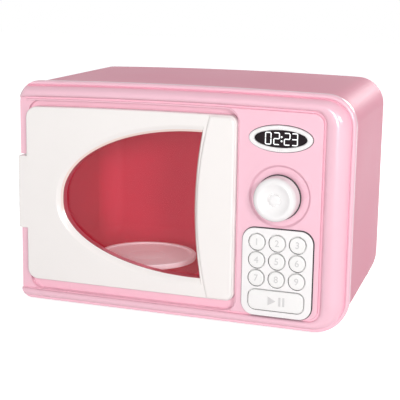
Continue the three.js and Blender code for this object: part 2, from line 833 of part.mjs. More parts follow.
// Oven liner: a rounded box open at the front, with a flange behind the recess
function cavityLiner() {
  const middle = [(liner.left + liner.right) / 2, (liner.bottom + liner.top) / 2];
  const size = [liner.right - liner.left, liner.top - liner.bottom];
  const boxAt = (grow, span, radius) => prismY(
    rounded(...middle, size[0] + 2 * grow, size[1] + 2 * grow, radius), span,
  );
  const flange = boxAt(linerFlange, [linerFront, linerFront + linerWall], linerRadius);
  const outer = boxAt(linerWall, [linerFront, linerFront + linerDepth], linerRadius + linerWall);
  const inner = boxAt(0, [linerFront - overrun, linerFront + linerDepth - linerWall], linerRadius);
  const spindleHole = rodZ(spindleRadius + 2 * clearance, [linerUnder - overrun, liner.bottom + overrun],
    turntable.x, turntable.y);
  const lampHole = rodZ(lampRadius + clearance, [liner.top - overrun, liner.top + linerWall + overrun],
    turntable.x, lampY(), smallSteps);
  return cut(join(flange, outer), inner, spindleHole, lampHole);
}

function lampY() {
  return linerFront + lampSetbackShare * linerDepth;
}

function cavityLamp() {
  const base = liner.top + linerWall + clearance;
  const tip = liner.top - lampDrop + lampRadius;
  return turnedZ([[0, tip - lampRadius], [lampRadius * Math.SQRT1_2, tip - lampRadius * Math.SQRT1_2],
    [lampRadius, tip], [lampRadius, base], [lampRadius + lampFlange, base],
    [lampRadius + lampFlange, base + lampFlangeThickness], [0, base + lampFlangeThickness]],
  turntable.x, lampY(), smallSteps);
}

// Door
function doorOutline(inset = 0) {
  return crowned({
    left: doorFrame.left + inset,
    right: doorFrame.right - inset,
    bottom: doorFrame.bottom + inset,
    top: doorFrame.top - inset,
    radii: even(doorRadius - inset),
  });
}

function handleOutline(inset) {
  const right = doorFrame.right - handleChamfer - inset;
  const top = doorFrame.top + crownAt(doorFrame.right) - handleMargin - inset;
  const bottom = doorFrame.bottom + handleMargin + inset;
  const radius = handleRadius - inset;
  const left = windowFrame.right + handleLand + inset;
  const curve = Array.from({ length: windowSteps + 1 }, (_, k) => {
    const share = k / windowSteps;
    return [left + handleBow * (2 * share - 1) ** 2, top + share * (bottom - top)];
  });
  return [
    ...arc(right - radius, bottom + radius, radius, -90, 0, cornerSteps),
    ...arc(right - radius, top - radius, radius, 0, 90, cornerSteps),
    ...curve,
  ];
}

function knuckleOutline() {
  const front = -doorReach;
  const left = hinge.x - knuckleRadius;
  const joinX = doorFrame.left + wall;
  return [
    [left, hinge.y],
    ...arc(hinge.x, hinge.y, knuckleRadius, 180, 0, smallSteps).slice(1, -1),
    [hinge.x + knuckleRadius, doorBackFront - clearance],
    [joinX, doorBackFront - clearance],
    [joinX, front],
    [left + doorEdgeRound, front],
    [left, front + doorEdgeRound],
  ];
}

function hingePins() {
  const half = hingePinLength / 2;
  return [[knuckle.top - half, knuckle.top + half], [knuckle.bottom - half, knuckle.bottom + half]];
}

function doorPanel() {
  const front = -doorReach;
  const skinBack = front + doorSkin;
  const back = doorBackFront - clearance;
  const midRound = doorEdgeRound * (1 - Math.SQRT1_2);
  const body = loft([
    { y: back, points: doorOutline() },
    { y: front + doorEdgeRound, points: doorOutline() },
    { y: front + midRound, points: doorOutline(midRound) },
    { y: front, points: doorOutline(doorEdgeRound) },
  ]);
  const inside = prismY(doorOutline(wall), [skinBack, back + overrun]);
  const handle = loft([
    { y: front + clearance, points: handleOutline(0) },
    { y: front - handleReach + handleChamfer, points: handleOutline(0) },
    { y: front - handleReach, points: handleOutline(handleChamfer) },
  ]);
  const knuckleBlock = prismZ(knuckleOutline(), [knuckle.bottom, knuckle.top]);
  const bosses = doorScrewPlaces.map(([x, z]) => rodY(
    doorScrewHead + clearance, [skinBack - clearance, back], x, z, smallSteps,
  ));
  const pilots = doorScrewPlaces.map(([x, z]) => rodY(
    doorScrewRadius + clearance, [skinBack, back + overrun], x, z, smallSteps,
  ));
  const opening = loft([
    { y: skinBack + overrun, points: windowOutline() },
    { y: skinBack - clearance, points: windowOutline() },
    { y: front - clearance, points: windowOutline(handleLand / 2, windowBevel) },
  ]);
  const pinHoles = hingePins().map(([z0, z1]) => rodZ(
    hingePinRadius + clearance, [z0 - clearance, z1 + clearance], hinge.x, hinge.y, smallSteps,
  ));
  return cut(join(cut(body, inside), handle, knuckleBlock, bosses), pilots, opening, pinHoles);
}

function doorBackFrame() {
  const plate = prismY(doorOutline(doorBackInset), [doorBackFront, doorBack]);
  const ring = prismY(windowOutline(lensOverlap), [lens.flangeBack + clearance, doorBackFront + clearance]);
  const opening = prismY(windowOutline(lensLedge), [lens.front - overrun, doorBack + overrun]);
  const tongue = block(
    [catchX - catchTongue / 2, catchX + catchTongue / 2],
    [doorBack - clearance, doorBack + catchTongueReach],
    [catchZ - catchTongueHeight / 2, catchZ + catchTongueHeight / 2],
  );
  const holes = doorScrewPlaces.flatMap(([x, z]) => [
    rodY(doorScrewRadius + clearance, [doorBackFront - overrun, doorBack + overrun], x, z, smallSteps),
    rodY(doorScrewHead + clearance, [doorBack - doorBackThickness / 2, doorBack + overrun], x, z, smallSteps),
  ]);
  return cut(join(plate, ring, tongue), opening, holes);
}

function doorWindow() {
  const dish = (shift, from, to) => loft([
    { y: to, points: windowOutline(0, -lensRim) },
    { y: lens.front + lensPan + shift, points: windowOutline(0, -lensRim) },
    { y: lens.front + shift, points: windowOutline(clearance, clearance - lensRim / 2) },
    { y: from, points: windowOutline(clearance, clearance - lensRim / 2) },
  ]);
  const flange = prismY(windowOutline(lensOverlap - clearance), [lens.front, lens.flangeBack]);
  const pan = loft([
    { y: lens.front + lensPan + lensThickness, points: windowOutline(lensRim / 2, -lensRim / 2) },
    { y: lens.flangeBack - clearance, points: windowOutline(lensRim / 2, 0) },
  ]);
  const hollow = loft([
    { y: lens.front + lensPan, points: windowOutline(0, -lensRim) },
    { y: lens.front - clearance, points: windowOutline(0, -clearance) },
  ]);
  return cut(join(flange, pan), hollow);
}

function doorScrew([x, z]) {
  const seat = doorBack - doorBackThickness / 2;
  return join(
    rodY(doorScrewHead, [seat + clearance, doorBack], x, z, smallSteps),
    rodY(doorScrewRadius, [doorSkin - doorReach + clearance, seat + 2 * clearance], x, z, smallSteps),
  );
}

function doorCatch() {
  const front = recessDepth + wall + clearance;
  const half = catchTongue / 2 + catchPlay + catchLeaf;
  const height = catchTongueHeight / 2 + catchPlay;
  const body = block([catchX - half, catchX + half], [front, front + catchDepth],
    [catchZ - height, catchZ + height]);
  const slot = block([catchX - half + catchLeaf, catchX + half - catchLeaf],
    [front - overrun, front + catchDepth - catchLeaf], [catchZ - 2 * height, catchZ + 2 * height]);
  return cut(body, slot);
}

// Controls
function displayBezel() {
  const [a, b] = [displayWidth / 2, displayHeight / 2];
  const [innerA, innerB] = [a - bezelWidth, b - bezelWidthVertical];
  const back = keypadBack;
  const front = back - bezelReach;
  const ring = loft([
    { y: back, points: oval(controlX, displayZ, a, b) },
    { y: front + bezelReach / 2, points: oval(controlX, displayZ, a, b) },
    { y: front, points: oval(controlX, displayZ, a - bezelReach / 2, b - bezelReach / 2) },
  ]);
  const spigot = prismY(oval(controlX, displayZ, innerA + bezelSpigot, innerB + bezelSpigot),
    [back - clearance, panelBack]);
  const hole = prismY(oval(controlX, displayZ, innerA, innerB), [front - overrun, panelBack + overrun]);
  return cut(join(ring, spigot), hole);
}

function displayWindow() {
  const front = keypadBack - bezelReach + displayGlassInset;
  const a = displayWidth / 2 - bezelWidth - clearance;
  const b = displayHeight / 2 - bezelWidthVertical - clearance;
  return prismY(oval(controlX, displayZ, a, b), [front, front + displayGlassThickness]);
}

function displayModule() {
  const front = keypadBack - bezelReach + displayGlassInset + displayGlassThickness + clearance;
  const half = [displayModuleWidth / 2, displayModuleHeight / 2];
  const box = (grow, span) => block([controlX - half[0] - grow, controlX + half[0] + grow], span,
    [displayZ - half[1] - grow, displayZ + half[1] + grow]);
  return join(box(0, [front, boardFront - clearance]),
    box(displayModuleFlange, [panelBack + clearance, boardFront - clearance]));
}

function knobParts() {
  const base = -panelReach + knobDishDepth - clearance;
  const front = -panelReach - knobHeight;
  const dish = front + knobDishDepth + clearance;
  const edge = knobRadius - knobFaceRadius;
  const body = turnedY([
    [0, base], [knobRadius, base], [knobRadius - clearance, front + edge],
    [knobRadius - clearance - edge * (1 - Math.SQRT1_2), front + edge * (1 - Math.SQRT1_2)],
    [knobFaceRadius, front], [knobFaceRadius - panelEdge, front],
    [(knobFaceRadius + knobHubRadius) / 2, dish - panelEdge], [knobHubRadius, dish],
    [knobHubRadius - panelEdge, dish - panelEdge], [0, dish - panelEdge],
  ], controlX, knobZ, ovalSteps);
  const shaftFront = base - knobCoreDepth;
  const hole = rodY(knobShaftRadius + clearance, [shaftFront - clearance, base + overrun], controlX, knobZ,
    smallSteps);
  const shaft = rodY(knobShaftRadius, [shaftFront, boardBack + knobSwitchDepth - wall], controlX, knobZ,
    smallSteps);
  return { knob: cut(body, hole), shaft };
}

function knobSwitch() {
  const half = knobSwitchSize / 2;
  const body = block([controlX - half, controlX + half],
    [boardBack + clearance, boardBack + clearance + knobSwitchDepth], [knobZ - half, knobZ + half]);
  const neck = rodY(knobShaftRadius + clearance + bossWall, [panelBack, boardBack + 2 * clearance], controlX,
    knobZ);
  const bore = rodY(knobShaftRadius + clearance, [-overrun, boardBack + knobSwitchDepth - wall + clearance],
    controlX, knobZ, smallSteps);
  return cut(join(body, neck), bore);
}

function keypadPlate() {
  const plate = prismY(rounded(controlX, keypadZ, keypadWidth, keypadHeight, keypadRadius),
    [keypadFront, keypadBack]);
  const through = [keypadFront - overrun, keypadBack + overrun];
  const holes = keyPlaces.map(([x, z]) => rodY(keyRadius + clearance, through, x, z));
  const slot = prismY(rounded(controlX, startZ, startWidth + 2 * clearance, startHeight + 2 * clearance,
    startRadius + clearance), through);
  return cut(plate, holes, slot);
}

function numberKey([x, z]) {
  const front = keypadFront - keyReach;
  const flangeFront = keypadBack + clearance;
  const flangeBackY = flangeFront + keyFlangeThickness;
  return turnedY([[0, front], [keyRadius - panelEdge, front], [keyRadius, front + panelEdge],
    [keyRadius, flangeFront], [keyRadius + keyFlange, flangeFront], [keyRadius + keyFlange, flangeBackY],
    [keyStemRadius, flangeBackY], [keyStemRadius, keyStemEnd], [0, keyStemEnd]], x, z);
}

function startKey() {
  const front = keypadFront - keyReach;
  const flangeFront = keypadBack + clearance;
  const at = (grow) => rounded(controlX, startZ, startWidth + 2 * grow, startHeight + 2 * grow,
    startRadius + grow);
  const cap = loft([
    { y: flangeFront + clearance, points: at(0) },
    { y: front + panelEdge, points: at(0) },
    { y: front, points: at(-panelEdge) },
  ]);
  const flange = prismY(at(keyFlange), [flangeFront, flangeFront + keyFlangeThickness]);
  const stem = prismY(at(-2 * keyFlange), [flangeFront, keyStemEnd]);
  return join(cap, flange, stem);
}

function keyMat() {
  const half = keysWidth / 2 + matMargin;
  return block([controlX - half, controlX + half], [matFront, matFront + matThickness],
    [startZ - startHeight / 2, keyFirstZ + keyRadius + matMargin]);
}

function controlBoard() {
  const plate = block([board.left, board.right], [boardFront, boardBack], [board.bottom, board.top]);
  const pins = boardPins.map(([x, z]) => rodY(boardPinRadius + clearance,
    [boardFront - overrun, boardBack + overrun], x, z, smallSteps));
  const neck = rodY(knobShaftRadius + 2 * clearance + bossWall, [boardFront - overrun, boardBack + overrun],
    controlX, knobZ);
  return cut(plate, pins, neck);
}

// Turntable and drive
function turntablePlate() {
  const top = plateBottom + plateHeight;
  const floor = top - plateSink;
  const plate = turnedZ([[0, plateBottom], [plateRadius - plateRim, plateBottom],
    [plateRadius, plateBottom + plateSink], [plateRadius, top - panelEdge], [plateRadius - panelEdge, top],
    [plateRadius - plateRim, top], [plateRadius - plateRim - plateSink, floor], [0, floor]],
  turntable.x, turntable.y, ovalSteps + ovalSteps / 2);
  const socket = rodZ(dogRadius + clearance, [plateBottom - overrun, plateBottom + dogHeight + clearance],
    turntable.x, turntable.y, dogSides);
  return cut(plate, socket);
}

function driveGear() {
  const floor = undersideAt(turntable.y) + wall;
  const gear = prismZ(gearOutline(gearTeeth, turntable.x, turntable.y, 0), [gearBottom, gearTop]);
  const hub = rodZ(spindleHub, [gearBottom - spindleHubLength, gearBottom + clearance], turntable.x,
    turntable.y);
  const spindle = rodZ(spindleRadius, [floor + 2 * clearance, plateBottom], turntable.x, turntable.y,
    smallSteps);
  const dog = rodZ(dogRadius, [plateBottom - clearance, plateBottom + dogHeight], turntable.x, turntable.y,
    dogSides);
  return join(gear, hub, spindle, dog);
}

function motorPinion() {
  const gear = prismZ(gearOutline(pinionTeeth, motorX, turntable.y, Math.PI / pinionTeeth),
    [gearBottom, gearTop]);
  const shaft = rodZ(motorShaftRadius, [gearBottom - motorCradle, gearBottom + clearance], motorX,
    turntable.y, smallSteps);
  return join(gear, shaft);
}

function driveMotor() {
  const top = gearBottom - 2 * clearance - motorNoseHeight;
  const can = turnedZ([[0, top - motorHeight], [motorRadius, top - motorHeight], [motorRadius, top],
    [motorNose, top], [motorNose, top + motorNoseHeight], [0, top + motorNoseHeight]], motorX, turntable.y);
  const bore = rodZ(motorShaftRadius + clearance, [gearBottom - motorCradle - clearance, gearTop], motorX,
    turntable.y, smallSteps);
  return cut(can, bore);
}

// Back of the body
function caseScrew([x, z]) {
  const seat = bodyDepth - counterbore + clearance;
  return join(
    rodY(screwHeadRadius, [seat, seat + screwHeadHeight], x, z, smallSteps),
    rodY(screwRadius, [seat - screwLength, seat + clearance], x, z, smallSteps),
  );
}

function foot([x, y]) {
  const top = undersideAt(y - footRadius) - clearance;
  return turnedZ([[0, -footDrop], [footRadius - panelEdge, -footDrop], [footRadius, panelEdge - footDrop],
    [footRadius, top], [footPegRadius, top], [footPegRadius, top + footPegLength], [0, top + footPegLength]],
  x, y, roundSteps);
}

function batteryBox() {
  const halfInside = bayWidth / 2;
  const halfOutside = halfInside + bayWall;
  const outer = block([controlX - halfOutside, controlX + halfOutside], [bayFront, bayBack],
    [bayBottom - bayWall, bayTop + bayWall]);
  const inner = block([controlX - halfInside, controlX + halfInside], [bayFront + bayWall, bayBack + overrun],
    [bayBottom, bayTop]);
  const boss = block([controlX - bayBossWidth / 2, controlX + bayBossWidth / 2],
    [bayFront + bayDepth / 2, bayBack], [bayTop + clearance, bayTop + bayTab - clearance]);
  const pilot = rodY(coverScrewRadius + clearance, [bayFront + bayDepth / 2 + bayWall, bayBack + overrun],
    controlX, bayTop + bayTab / 2 + clearance, smallSteps);
  return cut(join(outer, boss), inner, pilot);
}

function cell(index) {
  const up = index % 2 === 0;
  const start = contactTop + (up ? baySpring : clearance + cellNubHeight);
  const end = start + cellLength;
  const nub = up ? [end - clearance, end + cellNubHeight] : [start - cellNubHeight, start + clearance];
  return join(
    rodZ(cellRadius, [start, end], cellX(index), cellY),
    rodZ(cellNubRadius, nub, cellX(index), cellY, smallSteps),
  );
}

// A strip under or over some of the cells, with a spring at each negative end
function contact(cells, lower) {
  const half = cellRadius - clearance;
  const strip = lower ? [contactTop - bayStrip, contactTop] : [contactUnder, contactUnder + bayStrip];
  const sprung = cells.filter((index) => (index % 2 === 0) === lower);
  const spring = lower
    ? [contactTop - clearance, contactTop + baySpring - clearance]
    : [contactUnder - baySpring + clearance, contactUnder + clearance];
  return join(
    block([cellX(cells[0]) - half, cellX(cells.at(-1)) + half],
      [cellY - cellRadius / 2, cellY + cellRadius / 2], strip),
    sprung.map((index) => rodZ(cellNubRadius, spring, cellX(index), cellY, smallSteps)),
  );
}

function batteryCover() {
  const half = bayWidth / 2 + bayLip - clearance;
  const plate = block([controlX - half, controlX + half], [shellBackInside, bodyDepth],
    [bayBottom - bayLip + clearance, bayTop + bayTab - clearance]);
  const z = bayTop + bayTab / 2 + clearance;
  const hole = rodY(coverScrewRadius + clearance, [shellBackInside - overrun, bodyDepth], controlX, z,
    smallSteps);
  const seat = rodY(coverScrewHead + clearance, [shellBackInside + wall / 2, bodyDepth + overrun],
    controlX, z, smallSteps);
  return cut(plate, hole, seat);
}

function coverScrew() {
  const z = bayTop + bayTab / 2 + clearance;
  const seat = shellBackInside + wall / 2 + clearance;
  return join(
    rodY(coverScrewHead, [seat, bodyDepth - clearance], controlX, z, smallSteps),
    rodY(coverScrewRadius, [bayFront + bayDepth / 2 + bayWall + clearance, seat + clearance], controlX, z,
      smallSteps),
  );
}

function speaker() {
  const back = shellBackInside - clearance;
  const front = back - speakerDepth;
  const cone = speakerRadius - speakerRim;
  return turnedY([[0, front - magnetDepth], [magnetRadius, front - magnetDepth], [magnetRadius, front],
    [cone, back - speakerRim], [speakerRadius, back - speakerRim], [speakerRadius, back], [cone, back],
    [magnetRadius / 2, back - speakerDepth / 2], [0, back - speakerDepth / 2]], controlX, speakerZ);
}

function switchBody() {
  const back = shellBackInside - clearance;
  const body = block([controlX - switchWidth / 2, controlX + switchWidth / 2], [back - switchDepth, back],
    [switchZ - switchHeight / 2, switchZ + switchHeight / 2]);
  const slot = block(
    [controlX - switchTravel / 2 - switchLever / 2 - clearance,
      controlX + switchTravel / 2 + switchLever / 2 + clearance],
    [back - switchDepth / 2, back + overrun],
    [switchZ - switchLever / 2 - clearance, switchZ + switchLever / 2 + clearance],
  );
  return cut(body, slot);
}

function switchSlider() {
  const x = controlX - switchTravel / 2;
  const back = shellBackInside - clearance;
  return block([x - switchLever / 2, x + switchLever / 2], [back - switchDepth / 2 + clearance, bodyDepth],
    [switchZ - switchLever / 2, switchZ + switchLever / 2]);
}

// Finishes
const finishes = {
  pink: { color: 0xf6bccb, roughness: 0.28 },
  white: { color: 0xf6f2ef, roughness: 0.3 },
  raspberry: { color: 0xb8404f, roughness: 0.4 },
  lens: { color: 0xe8a0a8, roughness: 0.08, transparent: true, opacity: 0.35 },
  black: { color: 0x101012, roughness: 0.1 },
  board: { color: 0x2f6b46, roughness: 0.6 },
  grey: { color: 0x8c8e92, roughness: 0.5 },
  rubber: { color: 0x3a3a3c, roughness: 0.9 },
  steel: { color: 0xb9bcc0, roughness: 0.3, metalness: 1 },
  brass: { color: 0xc8a24a, roughness: 0.35, metalness: 1 },
  cell: { color: 0x4d5560, roughness: 0.35, metalness: 0.3 },
};

const toy = new THREE.Group();
toy.position.set(0, (knobHeight + panelReach - bodyDepth) / 2, footDrop);

function add(name, manifold, finish) {
  const mesh = new THREE.Mesh(geometryOf(manifold), new THREE.MeshStandardMaterial(finishes[finish]));
  mesh.name = name;
  toy.add(mesh);
}

add('front_shell', frontShell(), 'pink');
add('rear_shell', rearShell(), 'pink');
add('cavity_liner', cavityLiner(), 'raspberry');
add('cavity_lamp', cavityLamp(), 'white');

add('door_panel', doorPanel(), 'white');
add('door_back_frame', doorBackFrame(), 'white');
add('door_window', doorWindow(), 'lens');
doorScrewPlaces.forEach((place, k) => add(`door_screw_${k + 1}`, doorScrew(place), 'steel'));
hingePins().forEach((span, k) => add(['hinge_pin_upper', 'hinge_pin_lower'][k],
  rodZ(hingePinRadius, span, hinge.x, hinge.y, smallSteps), 'steel'));
add('door_catch', doorCatch(), 'white');

add('display_bezel', displayBezel(), 'white');
add('display_window', displayWindow(), 'black');
add('display_module', displayModule(), 'grey');
const { knob, shaft } = knobParts();
add('knob', knob, 'white');
add('knob_shaft', shaft, 'steel');
add('knob_switch', knobSwitch(), 'grey');
add('keypad_plate', keypadPlate(), 'white');
keyPlaces.forEach((place, k) => add(`key_${k + 1}`, numberKey(place), 'white'));
add('start_key', startKey(), 'white');
add('key_mat', keyMat(), 'grey');
add('control_board', controlBoard(), 'board');

add('turntable_plate', turntablePlate(), 'white');
add('drive_gear', driveGear(), 'white');
add('motor_pinion', motorPinion(), 'brass');
add('drive_motor', driveMotor(), 'steel');

postPlaces.forEach((place, k) => add(`case_screw_${k + 1}`, caseScrew(place), 'steel'));
footPlaces.forEach((place, k) => add(`foot_${k + 1}`, foot(place), 'rubber'));
add('battery_box', batteryBox(), 'grey');
for (let k = 0; k < cellCount; k += 1) add(`battery_${k + 1}`, cell(k), 'cell');
add('contact_negative', contact([0], true), 'steel');
add('contact_bridge_lower', contact([1, 2], true), 'steel');
add('contact_bridge_upper', contact([0, 1], false), 'steel');
add('contact_positive', contact([2], false), 'steel');
add('battery_cover', batteryCover(), 'pink');
add('battery_cover_screw', coverScrew(), 'steel');
add('speaker', speaker(), 'grey');
add('switch_body', switchBody(), 'grey');
add('switch_slider', switchSlider(), 'black');

export default toy;
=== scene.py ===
# Toy microwave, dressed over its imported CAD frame.
# Sizes are in millimetres from the front frame's plane (y) and its underside (z), as in the CAD.
from math import cos, hypot, pi, radians, sin, sqrt

import bmesh
import bpy
from mathutils import Euler, Matrix, Vector


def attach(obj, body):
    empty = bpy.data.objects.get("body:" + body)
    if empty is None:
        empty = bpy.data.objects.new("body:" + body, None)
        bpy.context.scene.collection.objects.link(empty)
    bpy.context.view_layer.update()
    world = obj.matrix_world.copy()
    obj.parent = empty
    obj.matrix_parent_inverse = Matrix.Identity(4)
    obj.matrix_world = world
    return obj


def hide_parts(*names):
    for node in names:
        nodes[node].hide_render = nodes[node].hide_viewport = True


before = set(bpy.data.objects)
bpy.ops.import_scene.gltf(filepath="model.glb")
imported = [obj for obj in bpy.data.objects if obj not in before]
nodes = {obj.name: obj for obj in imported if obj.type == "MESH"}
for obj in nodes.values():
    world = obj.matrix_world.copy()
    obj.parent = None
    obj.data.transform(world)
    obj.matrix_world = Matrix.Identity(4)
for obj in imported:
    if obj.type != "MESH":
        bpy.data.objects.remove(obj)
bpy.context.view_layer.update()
print("frame loaded")

mm = 0.001
frontPlane = -50.95  # where y = 0 of the front frame lies in the row's frame
footHeight = 2.5


def place(x, y, z):
    return Vector((x, y + frontPlane, z + footHeight)) * mm


# Outlines, as lists of (x, z) points


def arcPoints(x, z, radius, start, end, steps):
    angles = [radians(start + (end - start) * k / steps) for k in range(steps + 1)]
    return [(x + radius * cos(a), z + radius * sin(a)) for a in angles]


def crownAt(x):
    return 2 * (1 - (x / 120) ** 2)


def boxOutline(left, right, bottom, top, radii, crowned=False, steps=10, across=20):
    tl, tr, br, bl = [max(r, 0.15) for r in radii]
    start, end = right - tr, left + tl
    topEdge = [(start + (end - start) * (k + 1) / across, top) for k in range(across - 1)]
    points = (
        arcPoints(right - br, bottom + br, br, -90, 0, steps)
        + arcPoints(right - tr, top - tr, tr, 0, 90, steps)
        + topEdge
        + arcPoints(left + tl, top - tl, tl, 90, 180, steps)
        + arcPoints(left + bl, bottom + bl, bl, 180, 270, steps)
    )
    middle = (bottom + top) / 2
    return [(x, z + crownAt(x) if crowned and z > middle else z) for x, z in points]


def ovalOutline(x, z, a, b, steps=72):
    turns = [2 * pi * k / steps for k in range(steps)]
    return [(x + a * cos(t), z + b * sin(t)) for t in turns]


def padOutline(x, z, width, height, radius, steps=8):
    half, rise = width / 2, height / 2
    return boxOutline(x - half, x + half, z - rise, z + rise, [radius] * 4, steps=steps, across=1)


# A pad or a box from its dictionary, grown all round
def grownPad(pad, grow=0, steps=8):
    return padOutline(pad["x"], pad["z"], pad["width"] + 2 * grow, pad["height"] + 2 * grow,
                      pad["radius"] + grow, steps)


def grownBox(box, grow=0):
    return boxOutline(box["left"] - grow, box["right"] + grow, box["bottom"] - grow, box["top"] + grow,
                      [box["radius"] + grow] * 4)


def shrunk(radii, inset):
    return [max(r - inset, 0.15) for r in radii]


def quarter(steps, skipFirst=False):
    return [radians(90 * k / steps) for k in range(int(skipFirst), steps + 1)]


def eased(t):
    return t * t * (3 - 2 * t)


# Rings of a rounded front edge, from the side to the face. The outlines take an inset
def roundedFront(outlineAt, front, radius, steps, drop=None):
    drop = radius if drop is None else drop
    return [(front + drop * (1 - sin(a)), outlineAt(radius * (1 - cos(a)))) for a in quarter(steps)]


# Mesh helpers


def clearSelection():
    if bpy.context.object and bpy.context.object.mode != "OBJECT":
        bpy.ops.object.mode_set(mode="OBJECT")
    bpy.ops.object.select_all(action="DESELECT")


def makeActive(piece):
    clearSelection()
    piece.select_set(True)
    bpy.context.view_layer.objects.active = piece


def named(name):
    piece = bpy.context.object
    piece.name = piece.data.name = name
    return piece


def editAll():
    bpy.ops.object.mode_set(mode="EDIT")
    bpy.ops.mesh.select_mode(type="VERT")
    bpy.ops.mesh.select_all(action="SELECT")


def faceOutwards():
    bpy.ops.mesh.select_all(action="SELECT")
    bpy.ops.mesh.normals_make_consistent(inside=False)
    bpy.ops.object.mode_set(mode="OBJECT")


# Rings of (y, outline), or of (z, outline) if upright: a circle primitive, then each later one extruded
def skin(name, rings, upright=False):
    clearSelection()
    count = len(rings[0][1])
    bpy.ops.mesh.primitive_circle_add(vertices=count, radius=mm)
    piece = named(name)
    editAll()
    for number, (along, outline) in enumerate(rings):
        if number:
            bpy.ops.mesh.extrude_edges_move(TRANSFORM_OT_translate={"value": (0, 0, 0)})
        work = bmesh.from_edit_mesh(piece.data)
        picked = [v for v in work.verts if v.select]
        for vertex, (x, other) in zip(picked, outline):
            vertex.co = place(x, other, along) if upright else place(x, along, other)
        bmesh.update_edit_mesh(piece.data)
    for end in (range(count), range(count * (len(rings) - 1), count * len(rings))):
        bpy.ops.mesh.select_all(action="DESELECT")
        work = bmesh.from_edit_mesh(piece.data)
        work.verts.ensure_lookup_table()
        for k in end:
            work.verts[k].select = True
        work.select_flush(True)
        bmesh.update_edit_mesh(piece.data)
        bpy.ops.mesh.edge_face_add()
    faceOutwards()
    return piece


# A profile of (radius, along) turned about an axis along y, or along z if upright
def spun(name, profile, centre, upright=False, steps=72, closed=False):
    clearSelection()
    bpy.ops.mesh.primitive_circle_add(vertices=len(profile), radius=mm)
    piece = named(name)
    x, y, z = centre
    for vertex, (radius, along) in zip(piece.data.vertices, profile):
        vertex.co = place(x + radius, y, along) if upright else place(x + radius, along, z)
    bpy.ops.object.mode_set(mode="EDIT")
    if not closed:
        bpy.ops.mesh.select_mode(type="EDGE")
        bpy.ops.mesh.select_all(action="DESELECT")
        work = bmesh.from_edit_mesh(piece.data)
        for edge in work.edges:
            edge.select = {v.index for v in edge.verts} == {0, len(profile) - 1}
        bmesh.update_edit_mesh(piece.data)
        bpy.ops.mesh.delete(type="EDGE")
    editAll()
    axis = (0, 0, 1) if upright else (0, 1, 0)
    bpy.ops.mesh.spin(steps=steps, angle=2 * pi, center=place(x, y, z), axis=axis)
    bpy.ops.mesh.select_all(action="SELECT")
    bpy.ops.mesh.remove_doubles(threshold=0.00001)
    faceOutwards()
    return piece


# A block from its limits, for cuts and ribs
def slab(name, x, y, z, bevel=0):
    clearSelection()
    bpy.ops.mesh.primitive_cube_add(size=1)
    piece = named(name)
    for vertex in piece.data.vertices:
        side = [int(c > 0) for c in vertex.co]
        vertex.co = place(x[side[0]], y[side[1]], z[side[2]])
    if bevel:
        editAll()
        bpy.ops.mesh.bevel(offset=bevel * mm, segments=3, affect="EDGES")
        bpy.ops.object.mode_set(mode="OBJECT")
    return piece


# A plate with a rounded front edge. Its outline takes an inset
def roundedPlate(name, outlineAt, back, front, edge, steps=6):
    return skin(name, [(back, outlineAt(0))] + roundedFront(outlineAt, front, edge, steps))


# A pad through rows of (y, growth)
def padSkin(name, pad, rows):
    return skin(name, [(y, grownPad(pad, grow)) for y, grow in rows])


def prism(name, outline, front, back):
    return skin(name, [(front, outline), (back, outline)])


def rod(name, radius, y, x, z, steps=32):
    return prism(name, ovalOutline(x, z, radius, radius, steps), *y)


# A round hole along y or z, from one end to the other
def bore(name, radius, ends, centre, upright=False, steps=32):
    profile = [(0, ends[0]), (radius, ends[0]), (radius, ends[1]), (0, ends[1])]
    return spun(name, profile, centre, upright, steps)


# A screw's hole: shank, seat for the head and a widened mouth
def screwHole(name, shank, head, tip, seat, mouthAt, widen, spot, steps=32):
    profile = [(0, tip), (shank, tip), (shank, seat), (head, seat), (head, mouthAt),
               (head + widen, mouthAt + widen), (0, mouthAt + widen)]
    return spun(name, profile, (spot[0], 0, spot[1]), steps=steps)


def shape(piece, other, operation):
    makeActive(piece)
    change = piece.modifiers.new("shape", "BOOLEAN")
    change.operation = operation
    change.object = other
    change.solver = "EXACT"
    bpy.ops.object.modifier_apply(modifier=change.name)
    bpy.data.objects.remove(other)


def cutAway(piece, *cutters):
    for cutter in cutters:
        shape(piece, cutter, "DIFFERENCE")


def addTo(piece, *extras):
    for extra in extras:
        shape(piece, extra, "UNION")


def joined(name, pieces):
    clearSelection()
    for piece in pieces:
        piece.select_set(True)
    bpy.context.view_layer.objects.active = pieces[0]
    bpy.ops.object.join()
    return named(name)


def dress(piece, finish):
    piece.data.materials.clear()
    piece.data.materials.append(finishes[finish])


# A second finish on the faces that a test of their middle and normal picks
def dressFaces(piece, finish, picked):
    piece.data.materials.append(finishes[finish])
    for face in piece.data.polygons:
        if picked(face.center / mm, face.normal):
            face.material_index = 1


def finished(piece, body, finish, replaced=(), angle=32):
    makeActive(piece)
    dress(piece, finish)
    bpy.ops.object.shade_smooth_by_angle(angle=radians(angle))
    weighted = piece.modifiers.new("weighted", "WEIGHTED_NORMAL")
    weighted.keep_sharp = True
    bpy.ops.object.modifier_apply(modifier=weighted.name)
    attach(piece, body)
    if replaced:
        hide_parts(*replaced)


# Camera: solved from the frame's outline in the photo
shot = {"lens": 96.03, "spot": (253.44, -659.04, 220.15), "pitch": 78.86, "turn": 19.78, "roll": 0.91}


def makeCamera():
    data = bpy.data.cameras.new("photoCamera")
    data.lens = shot["lens"]
    data.sensor_width = 36
    data.clip_start = 0.01
    data.clip_end = 20
    camera = bpy.data.objects.new("photoCamera", data)
    bpy.context.collection.objects.link(camera)
    aim = Euler((radians(shot["pitch"]), 0, radians(shot["turn"]))).to_matrix()
    aim = aim @ Matrix.Rotation(radians(shot["roll"]), 3, "Z")
    camera.matrix_world = Matrix.Translation(place(*shot["spot"])) @ aim.to_4x4()
    bpy.context.scene.camera = camera


makeCamera()
bpy.context.scene.view_settings.view_transform = "Standard"
print("camera placed")

# Materials


